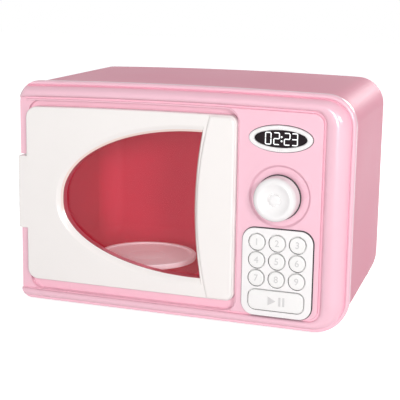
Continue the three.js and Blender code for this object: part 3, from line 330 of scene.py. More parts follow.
def nodeMaker(owner):
    owner.use_nodes = True
    tree = owner.node_tree
    tree.nodes.clear()

    def make(kind, **values):
        node = tree.nodes.new("ShaderNode" + kind)
        for key, value in values.items():
            if key in node.inputs:
                node.inputs[key].default_value = value
            else:
                setattr(node, key, value)
        return node

    def connect(*links):
        for source, output, target, entry in links:
            tree.links.new(source.outputs[output], target.inputs[entry])

    return make, connect


# 1 for a ray of any of the kinds
def anyRay(make, connect, *kinds):
    path = make("LightPath")
    source, output = path, kinds[0]
    for kind in kinds[1:]:
        either = make("Math", operation="MAXIMUM")
        connect((source, output, either, 0), (path, kind, either, 1))
        source, output = either, "Value"
    return source


# Every plastic drifts slowly from one tone to a deeper one, and its gloss drifts too
def driftingSurface(name, color, drop, roughness, scale, detail, settings):
    drops = drop if isinstance(drop, tuple) else (drop,) * 3
    deep = [c - d for c, d in zip(color, drops)]
    material = bpy.data.materials.new(name)
    make, connect = nodeMaker(material)
    spot = make("TexCoord")
    drift = make("TexNoise", Scale=scale, Detail=detail)
    tone = make("ValToRGB")
    for stop, position, shade in zip(tone.color_ramp.elements, (0.3, 0.7), (deep, color)):
        stop.position = position
        stop.color = (*shade, 1)
    low, high = roughness
    gloss = make("MapRange", **{"From Min": 0.3, "From Max": 0.7, "To Min": low, "To Max": high})
    surface = make("BsdfPrincipled", **settings)
    connect((spot, "Object", drift, "Vector"), (drift, "Fac", tone, "Fac"), (drift, "Fac", gloss, "Value"),
            (tone, "Color", surface, "Base Color"), (gloss, "Result", surface, "Roughness"))
    parts = {"spot": spot, "tone": tone, "surface": surface, "out": make("OutputMaterial")}
    return material, make, connect, parts


# A fine moulding texture on top. The glow setting lights a piece a little in its own colour; on the oven's
# liner and turntable plate this glow is painted light
def mouldedPlastic(name, color, drop, roughness, specks=900, bump=0.03, coat=0.3, variation=14,
                   metallic=0.0, specular=0.5, glow=0.0):
    settings = {"Metallic": metallic, "Coat Weight": coat, "Coat Roughness": 0.12,
                "Specular IOR Level": specular}
    if glow:
        settings.update({"Emission Color": (*color, 1), "Emission Strength": glow})
    material, make, connect, parts = driftingSurface(name, color, drop, roughness, variation, 3.0, settings)
    grain = make("TexNoise", Scale=specks, Detail=2.0, Roughness=0.55)
    relief = make("Bump", Strength=bump, Distance=0.0001)
    connect((parts["spot"], "Object", grain, "Vector"), (grain, "Fac", relief, "Height"),
            (relief, "Normal", parts["surface"], "Normal"),
            (parts["surface"], "BSDF", parts["out"], "Surface"))
    return material


# Tinted clear moulding: gloss in front, and light passes through with its tint
def clearPlastic(name, tint, drop, roughness, strength):
    settings = {"IOR": 1.3, "Transmission Weight": strength}
    material, make, connect, parts = driftingSurface(name, tint, drop, roughness, 9.0, 2.0, settings)
    through = make("BsdfTransparent")
    either = anyRay(make, connect, "Is Shadow Ray", "Is Diffuse Ray")
    mix = make("MixShader")
    connect((parts["tone"], "Color", through, "Color"), (either, "Value", mix, "Fac"),
            (parts["surface"], "BSDF", mix, 1), (through, "BSDF", mix, 2),
            (mix, "Shader", parts["out"], "Surface"))
    return material


matt = {"coat": 0.0}
metal = {"bump": 0.06, "coat": 0.0, "variation": 120, "metallic": 1.0}
rubber = {"coat": 0.0, "specks": 1600, "bump": 0.12}
# Name, colour, how much the deeper tone drops from it, the range of roughness and what else differs
mouldedRows = [
    ("pinkFrame", (0.94, 0.56, 0.665), 0.02, (0.26, 0.34), {"bump": 0.015, "coat": 0.8}),
    # The tub's pink is deeper than the frame's, in part painted shade for its less lit top and sides
    ("pinkTubShaded", (0.86, 0.355, 0.46), 0.02, (0.38, 0.48), {"bump": 0.015, "coat": 0.0, "specular": 0.1}),
    ("whiteDoor", (0.95, 0.91, 0.89), 0.02, (0.2, 0.28), {}),
    # Peach for the window's bevel where it faces away from the light: painted shade with a painted reflection
    # of the cavity's red
    ("bevelPaintedShade", (0.93, 0.76, 0.70), 0.02, (0.2, 0.28), {}),
    ("whiteTrim", (0.94, 0.92, 0.92), 0.02, (0.18, 0.26), {}),
    ("keyWhite", (0.93, 0.92, 0.91), 0.02, (0.26, 0.34), {}),
    ("numeralGrey", (0.68, 0.67, 0.67), 0.04, (0.3, 0.4), {}),
    ("clockLight", (0.90, 0.92, 0.92), 0.1, (0.4, 0.5), {"coat": 0.0, "glow": 0.7}),
    # The liner and the turntable plate glow a little in their own colour: painted light that evens out the
    # cavity's shade
    ("ovenLiner", (0.55, 0.03, 0.064), (0.03, 0.003, 0.005), (0.4, 0.5),
     {"coat": 0.0, "specular": 0.05, "glow": 0.13}),
    ("platePink", (0.95, 0.83, 0.86), 0.03, (0.4, 0.5), {"coat": 0.0, "glow": 0.14}),
    ("displayGlass", (0.016, 0.008, 0.011), (0.005, 0.003, 0.003), (0.05, 0.1),
     {"coat": 0.0, "bump": 0.005, "specular": 0.15}),
    ("greyPlastic", (0.30, 0.30, 0.32), 0.04, (0.45, 0.6), matt),
    ("blackPlastic", (0.03, 0.03, 0.032), 0.01, (0.4, 0.55), matt),
    ("gearPlastic", (0.80, 0.78, 0.72), 0.04, (0.4, 0.5), matt),
    ("boardGreen", (0.02, 0.14, 0.06), (0.005, 0.03, 0.015), (0.4, 0.5), {"variation": 60}),
    ("matRubber", (0.34, 0.34, 0.36), 0.04, (0.6, 0.75), matt),
    ("footRubber", (0.035, 0.035, 0.037), 0.013, (0.7, 0.85), rubber),
    ("cellWrap", (0.05, 0.08, 0.14), (0.01, 0.02, 0.03), (0.25, 0.35), {"coat": 0.5}),
    ("speakerCone", (0.022, 0.022, 0.024), 0.008, (0.6, 0.8), {**rubber, "specks": 2600, "bump": 0.2}),
    ("brass", (0.72, 0.50, 0.18), (0.1, 0.08, 0.04), (0.25, 0.4), {**metal, "specks": 1800}),
    ("motorSteel", (0.56, 0.57, 0.58), 0.08, (0.28, 0.42), {**metal, "specks": 1500}),
    ("screwSteel", (0.52, 0.53, 0.55), 0.08, (0.24, 0.4), {**metal, "specks": 2200}),
]
# Name, tint, the drop to the deeper tint, the range of roughness and how much passes through
clearRows = [
    ("tintedLens", (0.995, 0.965, 0.97), (0.005, 0.01, 0.01), (0.02, 0.05), 1.0),
    # The lens's slope is tinted and partly opaque: a painted reflection on the same clear moulding
    ("lensSlopeSheen", (0.88, 0.30, 0.37), 0.02, (0.08, 0.14), 0.6),
    ("lampClear", (0.95, 0.93, 0.86), (0.02, 0.03, 0.04), (0.03, 0.08), 0.9),
]
finishes = {row[0]: mouldedPlastic(*row[:4], **row[4]) for row in mouldedRows}
finishes.update({row[0]: clearPlastic(*row) for row in clearRows})
print("materials made")

# What more than one piece of the front needs
recess = {"left": -113.3, "right": 42.3, "bottom": 7.2, "top": 142.6, "radius": 9, "leftCorner": 8,
          "floor": 6, "fillet": 1.3, "floorEdge": 1.2, "lowShare": 0.3}
hinge = {"x": -116.4, "y": 4.6, "bottom": 52.2, "top": 103.8, "radius": 3, "gap": 0.6}
knobSpot = (71.7, 0, 89.0)
display = {"x": 71.7, "z": 127.1, "wide": (21.3, 8.7), "hole": (17.7, 5.8), "spigot": (18.8, 6.9),
           "pane": (17.4, 5.5), "front": -3.3, "seat": 0.2, "edge": 0.8, "glass": -2.7, "pocket": 0.45}
keypad = {"x": 71.7, "z": 37.8, "width": 48.2, "height": 59.6, "radius": 8.7, "front": -3.3, "back": 0.2,
          "edge": 0.7, "pocket": 0.5}


def ovalAt(size, grow=0, steps=96):
    return ovalOutline(display["x"], display["z"], size[0] + grow, size[1] + grow, steps)


def bezelAt(inset):
    return ovalAt(display["wide"], -inset)


def keypadAt(inset):
    return grownPad(keypad, -inset, 12)


# Front frame and control panel
shell = {
    "halfWidth": 120, "height": 156.4, "corners": (16, 19.4, 24, 8),
    "lip": (3.4, 3.2, 1.6), "rail": (11.3, 18.9, 6.8),  # top, right, bottom
    "valley": 1.7, "beadPower": 0.7, "roll": 4, "rollFoot": 0.4, "crest": 0.6, "slopePower": 0.65,
    "grooveFloor": 0.7, "grooveWidth": 1.3, "panelEdge": 0.7, "panelCorner": 8, "panelFace": -1.5,
    "panelBack": 1.4, "flangeBack": 3.6, "tongueBack": 10, "tongueInset": 4.1, "spread": 38.8,
    "endRound": 6.5, "stripFace": 2.6,
}
# The rim is flatter along the bottom. Its rows end where the groove starts
lowRim = {"rows": 29, "below": 22, "fade": 15, "face": -0.4, "roll": 0.5, "valley": 0.85}
mouth = {"left": -95.0, "right": 17.6, "bottom": 23.0, "top": 137.0, "radius": 12}
dish = {"radius": 21.2, "slope": 2.0, "depth": 1.6}
frontBoxes = {"hollowRight": (44.6, 113.9, 6.1, 150.3, (0.2, 12, 15, 0.2)),
              "keypadHole": (51.8, 91.7, 11.5, 64.4, (5, 5, 5, 5))}
frontBlocks = {
    "hingeBlock": ((-118.8, -113.2), (2.6, 11.5), (41.2, 114.8)),
    "hollowBack": ((-113.9, 44.7), (8.3, 14), (6.1, 144.9)),
    "stripCut": ((-170, recess["left"] + 0.1), (-14, 2.6), (6.8, 144.3)),
    "notch": ((-170, -112.7), (-14, 9.9), (hinge["bottom"] - hinge["gap"], hinge["top"] + hinge["gap"])),
    "catchSlot": ((28, 32), (3, 12), (71.7, 81.7)),
}
skim = 0.02  # keeps a cutter's ring off the face that it cuts


def frontOutline(inset):
    half, height = shell["halfWidth"], shell["height"]
    corners = shrunk(shell["corners"], inset)
    return boxOutline(-half + inset, half - inset, inset, height - inset, corners, True)


# One ring of the rim. Its left end runs out past the body, each a little shorter than the last
def rimRing(lipShare, rollShare, extra, number):
    insets = [lipShare * lip + rollShare * (rail - lip) + extra
              for lip, rail in zip(shell["lip"], shell["rail"])]
    share = insets[1] / shell["rail"][1]
    tr, br = [max(r + share * (shell["panelCorner"] - r), 0.15) for r in shell["corners"][1:3]]
    half = shell["halfWidth"]
    return boxOutline(-half - shell["spread"] + 0.5 * number, half - insets[1], insets[2],
                      shell["height"] - insets[0], (0.15, tr, br, 0.15), True)


# Rows of (share of the lip, share of the roll behind it, more inset, y)
def rimProfile():
    valley, roll, crest = shell["valley"], shell["roll"], shell["crest"]
    rows = [(0, 0, 0, shell["flangeBack"])]
    for k in range(9):  # the lip's bead
        t = k / 8
        rows.append((t, 0, 0, valley - valley * sin(pi * t) ** shell["beadPower"]))
    for k in range(1, 11):  # outer slope of the roll
        t = k / 10
        rise = (roll + valley) * sin(pi / 2 * t) ** shell["slopePower"]
        rows.append((1, 0.01 + (crest - 0.01) * t, 0, valley - rise))
    for k in range(1, 10):  # inner quarter down to the groove
        u = sin(pi / 2 * k / 9)
        fall = (roll - shell["rollFoot"]) * (1 - sqrt(1 - u * u))
        rows.append((1, crest + (1 - crest) * u, 0, fall - roll))
    face, groove, width = shell["panelFace"], shell["grooveFloor"], shell["grooveWidth"]
    rows += [(1, 1, 0, groove), (1, 1, width, groove)]
    for a in quarter(6, True):  # the panel's own rounded edge
        rows.append((1, 1, width + shell["panelEdge"] * (1 - cos(a)), groove + (face - groove) * sin(a)))
    return rows


# All that stands left of the frame's plain left end and its two corners
def leftTrim():
    half, height, far = shell["halfWidth"], shell["height"], 175
    tl, bl = shell["corners"][0], shell["corners"][3]
    upper = [(x, z + crownAt(x)) for x, z in arcPoints(-half + tl, height - tl, tl, 90, 180, 14)]
    outline = [(-half + tl, far)] + upper + arcPoints(-half + bl, bl, bl, 180, 270, 10)
    outline += [(-half + bl, -20), (-far, -20), (-far, far)]
    end, roll, strip = shell["endRound"], shell["roll"] + 0.2, shell["stripFace"]
    rounds = [(-12, end)] + [(strip - (strip + roll) * cos(a), end * (1 - sin(a))) for a in quarter(9)]
    rounds.append((12, 0))
    return skin("leftTrim", [(y, [(px + shift, pz) for px, pz in outline]) for y, shift in rounds])


# The door's recess: its mouth is rounded over, and its floor runs up into the walls
def recessCutter():
    fillet, face, strip = recess["fillet"], shell["panelFace"], shell["stripFace"]
    edge, corner = recess["floorEdge"], recess["leftCorner"]

    def ring(grow, leftCorner=0.15):
        corners = (leftCorner, recess["radius"] + grow, recess["radius"] + grow, leftCorner)
        return boxOutline(recess["left"], recess["right"] + grow,
                          recess["bottom"] - grow * recess["lowShare"], recess["top"] + grow, corners, True)

    rings = [(-12, ring(fillet + 0.3))]
    rings += [(face - skim + fillet * sin(a), ring(fillet * cos(a))) for a in quarter(6)]
    rings += [(strip - 0.05, ring(0)), (strip + 0.05, ring(0, corner))]
    rings += [(recess["floor"] - edge + edge * sin(a), ring(-edge * (1 - cos(a)), corner))
              for a in quarter(4)]
    return skin("recessCutter", rings)


def dishCutter():
    face, radius = shell["panelFace"] - skim, dish["radius"]
    profile = [(0, -14), (radius + 2, -14), (radius, face)]
    profile += [(radius - dish["slope"] * k / 8, face + dish["depth"] * eased(k / 8)) for k in range(1, 9)]
    return spun("dishCutter", profile + [(0, face + dish["depth"])], knobSpot, steps=96)


def flattenLowRim(front, count):
    for vertex in front.data.vertices[count:lowRim["rows"] * count]:
        along = vertex.co.y / mm - frontPlane
        up = vertex.co.z / mm - footHeight
        share = eased(min(max((lowRim["below"] - up) / lowRim["fade"], 0), 1))
        if along < lowRim["face"]:
            vertex.co.y += (lowRim["face"] - along) * lowRim["roll"] * share * mm
        elif along > 0:
            vertex.co.y -= along * lowRim["valley"] * share * mm


def frontBlock(name):
    return slab(name, *frontBlocks[name])


def makeFrontFrame():
    rings = [(row[3], rimRing(*row[:3], number)) for number, row in enumerate(rimProfile())]
    front = skin("frontFrame", rings)
    flattenLowRim(front, len(rings[0][1]))
    cutAway(front, leftTrim())
    tongue = frontOutline(shell["tongueInset"])
    addTo(front, prism("tongue", tongue, shell["flangeBack"] - 0.3, shell["tongueBack"]),
          frontBlock("hingeBlock"))
    cutAway(front,
            prism("hollowRight", boxOutline(*frontBoxes["hollowRight"]), shell["panelBack"], 14),
            frontBlock("hollowBack"), frontBlock("stripCut"), recessCutter(),
            prism("mouthCut", grownBox(mouth), 3, 12),
            frontBlock("notch"), frontBlock("catchSlot"), dishCutter(),
            rod("shaftHole", 4.6, (-3, 14), knobSpot[0], knobSpot[2]),
            prism("displayHole", ovalAt(display["spigot"], 0.3, 72), -14, 14),
            prism("displayPocket", bezelAt(-display["pocket"]), -14, 0.5),
            prism("keypadPocket", keypadAt(-keypad["pocket"]), -14, 0.5),
            prism("keypadHole", boxOutline(*frontBoxes["keypadHole"]), -14, 14))
    finished(front, "case", "pinkFrame", ["front_shell"])


makeFrontFrame()
print("front frame made")

# Rear tub
tub = {"step": 1.2, "taper": 4, "lift": 3.4, "rise": 2.9, "front": 3.9, "full": 112.6, "back": 118.6,
       "edge": 6, "wall": 2.3, "corners": (18, 18.8, 28, 14)}
screwSpots = [(side * 106, z) for side in (-1, 1) for z in (14.1, 144.0)]
footSpots = [(side * 84, y) for side in (-1, 1) for y in (20, 98)]
bay = {"left": 46.2, "right": 97.2, "bottom": 16.6, "top": 82.6}
speaker = {"x": 71.7, "z": 123.4, "radius": 17, "slots": 7, "height": 2}
powerSwitch = {"x": 71.7, "z": 90.6, "width": 19, "height": 7, "radius": 3.45, "recess": 1.2, "travel": 4}
# Radius and ends of the rods, then shank, head, tip and seat of the counterbores
tubRods = {"speakerRing": (22.1, (111.7, 116.6)), "speakerSeat": (20.3, (110, 116.3)),
           "boss": (4.3, (110.3, 116.6))}
counterbore = (1.7, 3.3, 104, 113.6)
tubBlocks = {"hingeRelief": ((-170, -112.4), (0, 11.8), (40.9, 115.1)),
             "bayCut": ((bay["left"], bay["right"]), (104, tub["back"] + 6), (bay["bottom"], bay["top"])),
             "leverCut": ((67.4, 76.0), (104, tub["back"] + 6), (88.3, 92.9))}


def tubOutline(y, inset=0):
    share = (y - tub["front"]) / (tub["full"] - tub["front"])
    step = tub["step"] + inset + share * (tub["taper"] - tub["step"])
    radii = [r - tub["step"] + share * (rear - r + tub["step"])
             for r, rear in zip(shell["corners"], tub["corners"])]
    half, height = shell["halfWidth"], shell["height"]
    return boxOutline(-half + step, half - step, inset + tub["step"] + share * (tub["lift"] - tub["step"]),
                      height - inset - tub["step"] + share * (tub["rise"] + tub["step"]),
                      shrunk(radii, inset), True)


def tubRings(wall):
    depth, radius = tub["full"] - tub["front"], tub["edge"] - wall
    rings = [(tub["front"] + depth * k / 6, tubOutline(tub["front"] + depth * k / 6, wall)) for k in range(7)]
    rings += [(tub["full"] + radius * sin(a), tubOutline(tub["full"], wall + radius * (1 - cos(a))))
              for a in quarter(8, True)]
    return rings


def grilleSlots():
    pitch = 2 * speaker["radius"] / speaker["slots"]
    slots = []
    for k in range(speaker["slots"]):
        rise = (k - (speaker["slots"] - 1) / 2) * pitch
        pad = {"x": speaker["x"], "z": speaker["z"] + rise, "height": speaker["height"],
               "width": 2 * sqrt(speaker["radius"] ** 2 - rise ** 2), "radius": speaker["height"] / 2 - 0.05}
        slots.append(padSkin("slot", pad, [(108, 0), (tub["back"] - 0.5, 0), (tub["back"] + 0.5, 0.55)]))
    return slots


def makeRearTub():
    rear = skin("rearTub", tubRings(0))
    inside = tubRings(tub["wall"])
    inside[0] = (tub["front"] - 4, tubOutline(tub["front"] - 4, tub["wall"]))
    cutAway(rear, skin("tubInside", inside), slab("hingeRelief", *tubBlocks["hingeRelief"]))
    x, z, back = speaker["x"], speaker["z"], tub["back"]
    ring = rod("speakerRing", *tubRods["speakerRing"], x, z, 64)
    cutAway(ring, rod("speakerSeat", *tubRods["speakerSeat"], x, z, 64))
    addTo(rear, ring, *[rod("boss", *tubRods["boss"], *spot) for spot in screwSpots])
    cuts = [screwHole("counterbore", *counterbore, back - 0.4, 1, spot) for spot in screwSpots]
    cuts += [slab(name, *tubBlocks[name]) for name in ("bayCut", "leverCut")]
    cuts.append(padSkin("switchCut", powerSwitch, [(back - powerSwitch["recess"], 0), (back - 0.4, 0),
                                                   (back + 0.6, 0.8)]))
    cuts += [bore("pegHole", 2.5, (-6, 12), (x, y, 0), True) for x, y in footSpots]
    cutAway(rear, *cuts, *grilleSlots())
    finished(rear, "case", "pinkTubShaded", ["rear_shell"])


makeRearTub()
print("rear tub made")

# Door
door = {"left": -113.0, "right": 42.0, "bottom": 15.2, "top": 138.5, "corners": (8, 5.5, 5.5, 7.5),
        "front": -3.0, "back": 3.0, "skin": 2.4, "wall": 2.3, "edge": 1.3, "backFront": 3.3, "backFace": 5.5,
        "backInset": 0.9, "boss": 2.5, "pilot": 1.4}
window = {"left": -85.0, "right": 12.8, "bottom": 28.5, "top": 127.88, "low": 72.82, "high": 76.9, "bow": 4.6,
          "bevel": 5.0, "bevelRight": 2.2, "bevelDepth": 2.55, "bevelPower": 1.4, "paintedShadeFrom": 1.45}
doorScrewHole = (1.4, 2.5, 1, 4.4)  # shank, head, tip and seat
hingePin = {"radius": 1.55, "half": 8.3}
handle = {"left": 15.4, "right": 41.3, "margin": 0.8, "bow": 8, "radius": 4.8, "reach": 1.7, "soft": 1.6}
lens = {"front": -0.3, "thick": 1.6, "flange": 4.2, "rim": 0.6, "pan": 3.8}
doorScrewSpots = [(x, z) for x in (-105.0, 34.0) for z in (23.2, 130.5)]
catchTongue = {"x": (29, 31), "y": (5.2, 12.5), "z": (72.85, 80.85)}


def doorOutline(inset=0):
    return boxOutline(door["left"] + inset, door["right"] - inset, door["bottom"] + inset,
                      door["top"] - inset, shrunk(door["corners"], inset), True)


# A half leaf with a round left end, and a right edge that bows inwards
def windowOutline(grow=0, leftGrow=None, steps=40):
    leftGrow = grow if leftGrow is None else leftGrow
    right, low, high = window["right"], window["low"], window["high"]
    wide = right - window["left"] + leftGrow
    upper = window["top"] - high + leftGrow
    lower = low - window["bottom"] + leftGrow
    angles = quarter(steps)
    points = [(right - wide * sin(a), high + upper * cos(a)) for a in angles]
    points += [(right - wide * cos(a), low - lower * sin(a)) for a in angles]
    bottom, top = low - lower, high + upper
    for k in range(steps // 2 + 1):
        share = 2 * k / steps
        x = right + window["bow"] + grow - window["bow"] * (1 - (2 * share - 1) ** 2)
        points.append((x, bottom + share * (top - bottom)))
    return points


def handleOutline(inset):
    top = door["top"] + crownAt(door["right"]) - handle["margin"] - inset
    bottom = door["bottom"] + handle["margin"] + inset
    right, radius = handle["right"] - inset, max(handle["radius"] - inset, 0.3)
    points = arcPoints(right - radius, bottom + radius, radius, -90, 0, 8)
    points += arcPoints(right - radius, top - radius, radius, 0, 90, 8)
    for k in range(25):
        share = k / 24
        x = handle["left"] + inset + handle["bow"] * (2 * share - 1) ** 2
        points.append((x, top + share * (bottom - top)))
    return points


def knuckleRings():
    x, y, radius = hinge["x"], hinge["y"], hinge["radius"]
    left, front, joint = x - radius, door["front"], door["left"] + door["wall"]
    outline = arcPoints(x, y, radius, 180, 0, 16)
    outline += [(x + radius, door["back"]), (joint, door["back"]), (joint, front)]
    outline += arcPoints(left + 1.2, front + 1.2, 1.2, 270, 180, 6)
    middleX, middleY = x + 1.0, 0.8

    def drawnIn(inset):
        wide, deep = 1 - inset / 6, 1 - inset / 9
        return [(middleX + (px - middleX) * wide, middleY + (py - middleY) * deep) for px, py in outline]

    bottom, top = hinge["bottom"], hinge["top"]
    return [(bottom, drawnIn(0.5)), (bottom + 0.5, drawnIn(0)), (top - 0.5, drawnIn(0)), (top, drawnIn(0.5))]


def makeDoorPanel():
    front, back, inside = door["front"], door["back"], door["front"] + door["skin"]
    panel = roundedPlate("doorPanel", doorOutline, back, front, door["edge"], 7)
    cutAway(panel, prism("doorHollow", doorOutline(door["wall"]), inside, back + 3))
    reach = handle["reach"]
    pad = [(front + 0.2, handleOutline(-0.5)), (front - 0.15, handleOutline(-0.35))]
    pad += roundedFront(handleOutline, front - reach, handle["soft"], 7, reach - 0.3)
    addTo(panel, skin("handlePad", pad), skin("knuckle", knuckleRings(), True),
          *[rod("boss", door["boss"], (inside - 0.3, back), x, z, 24) for x, z in doorScrewSpots])
    right, left, depth = window["bevelRight"], window["bevel"], window["bevelDepth"]
    bevel = [(front - 0.5, windowOutline(right * 1.02, left * 1.02))]
    for t in (0.02, 0.1, 0.2, 0.35, 0.5, 0.65, 0.8, 0.9, 1):
        grown = windowOutline(right * (1 - t), left * (1 - t))
        bevel.append((front - 0.01 + depth * t ** window["bevelPower"], grown))
    bevel.append((back + 3, windowOutline()))
    half = hingePin["half"]
    cutAway(panel, skin("windowCut", bevel),
            *[rod("pilot", door["pilot"], (inside, back + 3), x, z, 20) for x, z in doorScrewSpots],
            *[bore("pinHole", hingePin["radius"], (z - half, z + half), (hinge["x"], hinge["y"], 0), True, 24)
              for z in (hinge["bottom"], hinge["top"])])
    finished(panel, "door", "whiteDoor", ["door_panel"])

    def onBevel(middle, normal):  # where the window's bevel doesn't look up it takes a peach finish: painted shade, with the cavity's red as a painted reflection
        nearWindow = window["left"] - 8 < middle.x < window["right"] + 8 and middle.z > 22
        along = middle.y - frontPlane - front
        return nearWindow and normal.z < 0.3 and window["paintedShadeFrom"] < along < depth + 1

    dressFaces(panel, "bevelPaintedShade", onBevel)


def makeDoorBack():
    face, back, inset = door["backFront"], door["backFace"], door["backInset"]
    plate = skin("doorBack", [(face, doorOutline(inset)), (back - 0.6, doorOutline(inset)),
                              (back - 0.15, doorOutline(inset + 0.15)), (back, doorOutline(inset + 0.6))])
    lower = lens["front"] + lens["thick"] + 0.3
    addTo(plate, prism("lensPress", windowOutline(4.5), lower, face + 0.3),
          slab("catchTongue", catchTongue["x"], catchTongue["y"], catchTongue["z"], 0.4))
    opening = [(lower - 6, 3), (back - 0.6, 3), (back + 0.5, 4.1)]
    cutAway(plate, skin("backOpening", [(y, windowOutline(grow)) for y, grow in opening]),
            *[screwHole("screwSeat", *doorScrewHole, back - 0.2, 0.5, spot, 28) for spot in doorScrewSpots])
    finished(plate, "door", "whiteDoor", ["door_back_frame"])


# The clear pane: a flange behind the door, a sloped rim and a flat pan set deeper
def makeLens():
    front, thick, rim, pan = lens["front"], lens["thick"], lens["rim"], lens["pan"]
    flange = windowOutline(lens["flange"])
    back = front + thick
    pane = skin("lensPane", [(front, flange), (back, flange), (back, windowOutline(1.7, 1.2)),
                             (back + pan, windowOutline(1.7, 0.7))])
    hollow = [(front - 1, windowOutline(0.3, 0.4)), (front + 0.02, windowOutline(0.2, 0.1))]
    hollow += [(front + pan * eased(t), windowOutline(0.2 * (1 - t), 0.1 - rim * t))
               for t in (0.2, 0.4, 0.6, 0.8, 1)]
    cutAway(pane, skin("panHollow", hollow))
    finished(pane, "door", "tintedLens", ["door_window"], 25)

    def onSlope(middle, normal):  # the sloped rim takes a pink, partly opaque finish: a painted reflection of the bright band at the step
        return front - 0.01 < middle.y - frontPlane < front + pan - 0.01 and -0.9995 < normal.y < -0.02

    dressFaces(pane, "lensSlopeSheen", onSlope)


makeDoorPanel()
makeDoorBack()
makeLens()
print("door made")

# Oven: liner and turntable
oven = {"left": -97.0, "right": 14.3, "bottom": 22.8, "top": 139.0, "radius": 14, "wall": 1.8, "flange": 3.6,
        "front": 8.6, "back": 98.6, "soft": 18, "lamp": (-41.35, 49.1, 0)}
turntable = {"axis": (-41.35, 48.0, 0), "bottom": 25.3, "radius": 36, "height": 4, "rim": 3.2, "sink": 1}


def makeOvenLiner():
    front, back, wall, soft = oven["front"], oven["back"], oven["wall"], oven["soft"]
    flange = grownBox(oven, oven["flange"])
    rings = [(front, grownBox(oven, oven["flange"] - 0.3)), (front + 0.3, flange), (front + wall, flange),
             (front + wall, grownBox(oven, wall))]
    rings += [(back - soft + soft * sin(a), grownBox(oven, wall - soft * (1 - cos(a)))) for a in quarter(8)]
    inside = [(front - 3, grownBox(oven))]
    inside += [(back - soft + (soft - wall) * sin(a), grownBox(oven, (wall - soft) * (1 - cos(a))))
               for a in quarter(8)]
    liner = skin("ovenLiner", rings)
    cutAway(liner, skin("linerInside", inside),
            bore("spindleHole", 3.6, (18, 24), turntable["axis"], True),
            bore("lampHole", 2.8, (136, 143), oven["lamp"], True))
    finished(liner, "case", "ovenLiner", ["cavity_liner"], 40)


def makeTurntablePlate():
    low, radius, rim, sink = turntable["bottom"], turntable["radius"], turntable["rim"], turntable["sink"]
    top = low + turntable["height"]
    profile = [(0, low + 2.1), (3.75, low + 2.1), (3.75, low)]
    profile += arcPoints(radius - 1.1, low + 1.1, 1.1, -90, 0, 6)
    profile += arcPoints(radius - 0.7, top - 0.7, 0.7, 0, 90, 5)
    profile += arcPoints(radius - rim + 0.5, top - 0.5, 0.5, 90, 180, 4)
    profile += [(radius - rim - 0.9, top - sink + 0.1), (radius - rim - 1.6, top - sink), (14, top - sink),
                (13.2, top - sink - 0.35), (12.4, top - sink), (0, top - sink)]
    plate = spun("turntablePlate", profile, turntable["axis"], True, 120)
    finished(plate, "turntable", "platePink", ["turntable_plate"], 40)


makeOvenLiner()
makeTurntablePlate()
print("oven made")

# Display
digits = {"top": 131.3, "height": 8.2, "stroke": 0.64, "raise": 0.14, "sink": 0.3, "tip": 0.12,
          "colonX": 72.35, "colonDrops": (2.9, 5.6), "dot": 0.6}
digitPlaces = [("0", 61.3, 4.3), ("2", 66.9, 4.3), ("2", 73.9, 4.3), ("3", 78.9, 4.3)]
digitBars = {"0": ("top", "bottom", "upperLeft", "upperRight", "lowerLeft", "lowerRight"),
             "2": ("top", "middle", "bottom", "upperRight", "lowerLeft"),
             "3": ("top", "middle", "bottom", "upperRight", "lowerRight")}
notch = {"half": 0.36, "depth": 0.55, "pitch": 1.3, "from": 7.0, "to": 9.6}


def makeBezel():
    front, hole = display["front"], display["hole"]
    ring = roundedPlate("displayBezel", bezelAt, display["seat"], front, display["edge"])
    addTo(ring, prism("spigot", ovalAt(display["spigot"]), -2.1, 1.4))
    notches = []
    for low, high in ((-notch["to"], -notch["from"]), (notch["from"], notch["to"])):
        for side in (-1, 0, 1):
            x = display["x"] + side * notch["pitch"]
            notches.append(slab("notch", (x - notch["half"], x + notch["half"]),
                                (front - 1, front + notch["depth"]),
                                (display["z"] + low, display["z"] + high)))
    cutAway(ring, skin("bezelHole", [(front - 1, ovalAt(hole, 0.9)), (front + 0.02, ovalAt(hole, 0.55)),
                                     (front + 0.45, ovalAt(hole)), (2, ovalAt(hole))]), *notches)
    finished(ring, "case", "whiteTrim", ["display_bezel"])


def makeGlass():
    front, pane = display["glass"], display["pane"]
    rings = [(front + 1.8, ovalAt(pane)), (front + 0.3, ovalAt(pane)), (front + 0.08, ovalAt(pane, -0.2)),
             (front, ovalAt(pane, -0.5))]
    finished(skin("displayGlass", rings), "case", "displayGlass", ["display_window"])


def standingOnGlass(name, outline):
    return prism(name, outline, display["glass"] + digits["sink"], display["glass"] - digits["raise"])


# One bar of a digit: a slim lozenge from one point to another
def digitBar(start, end):
    half, tip = digits["stroke"] / 2, digits["tip"]
    (x0, z0), (x1, z1) = start, end
    length = hypot(x1 - x0, z1 - z0)
    ux, uz = (x1 - x0) / length, (z1 - z0) / length
    corners = ((tip, 0), (half, half), (length - half, half), (length - tip, 0), (length - half, -half),
               (half, -half))
    return standingOnGlass("bar", [(x0 + ux * along - uz * across, z0 + uz * along + ux * across)
                                   for along, across in corners])


def makeDigits():
    bars = []
    top, height, half = digits["top"], digits["height"], digits["stroke"] / 2
    for digit, x, width in digitPlaces:
        left, right = x + half, x + width - half
        high, middle, low = top - half, top - height / 2, top - height + half
        ends = {"top": ((left, high), (right, high)), "middle": ((left, middle), (right, middle)),
                "bottom": ((left, low), (right, low)), "upperLeft": ((left, middle), (left, high)),
                "upperRight": ((right, middle), (right, high)), "lowerLeft": ((left, low), (left, middle)),
                "lowerRight": ((right, low), (right, middle))}
        bars += [digitBar(*ends[name]) for name in ends if name in digitBars[digit]]
    for drop in digits["colonDrops"]:
        dot = ovalOutline(digits["colonX"], top - drop, digits["dot"], digits["dot"], 20)
        bars.append(standingOnGlass("dot", dot))
    finished(joined("clockDigits", bars), "case", "clockLight")


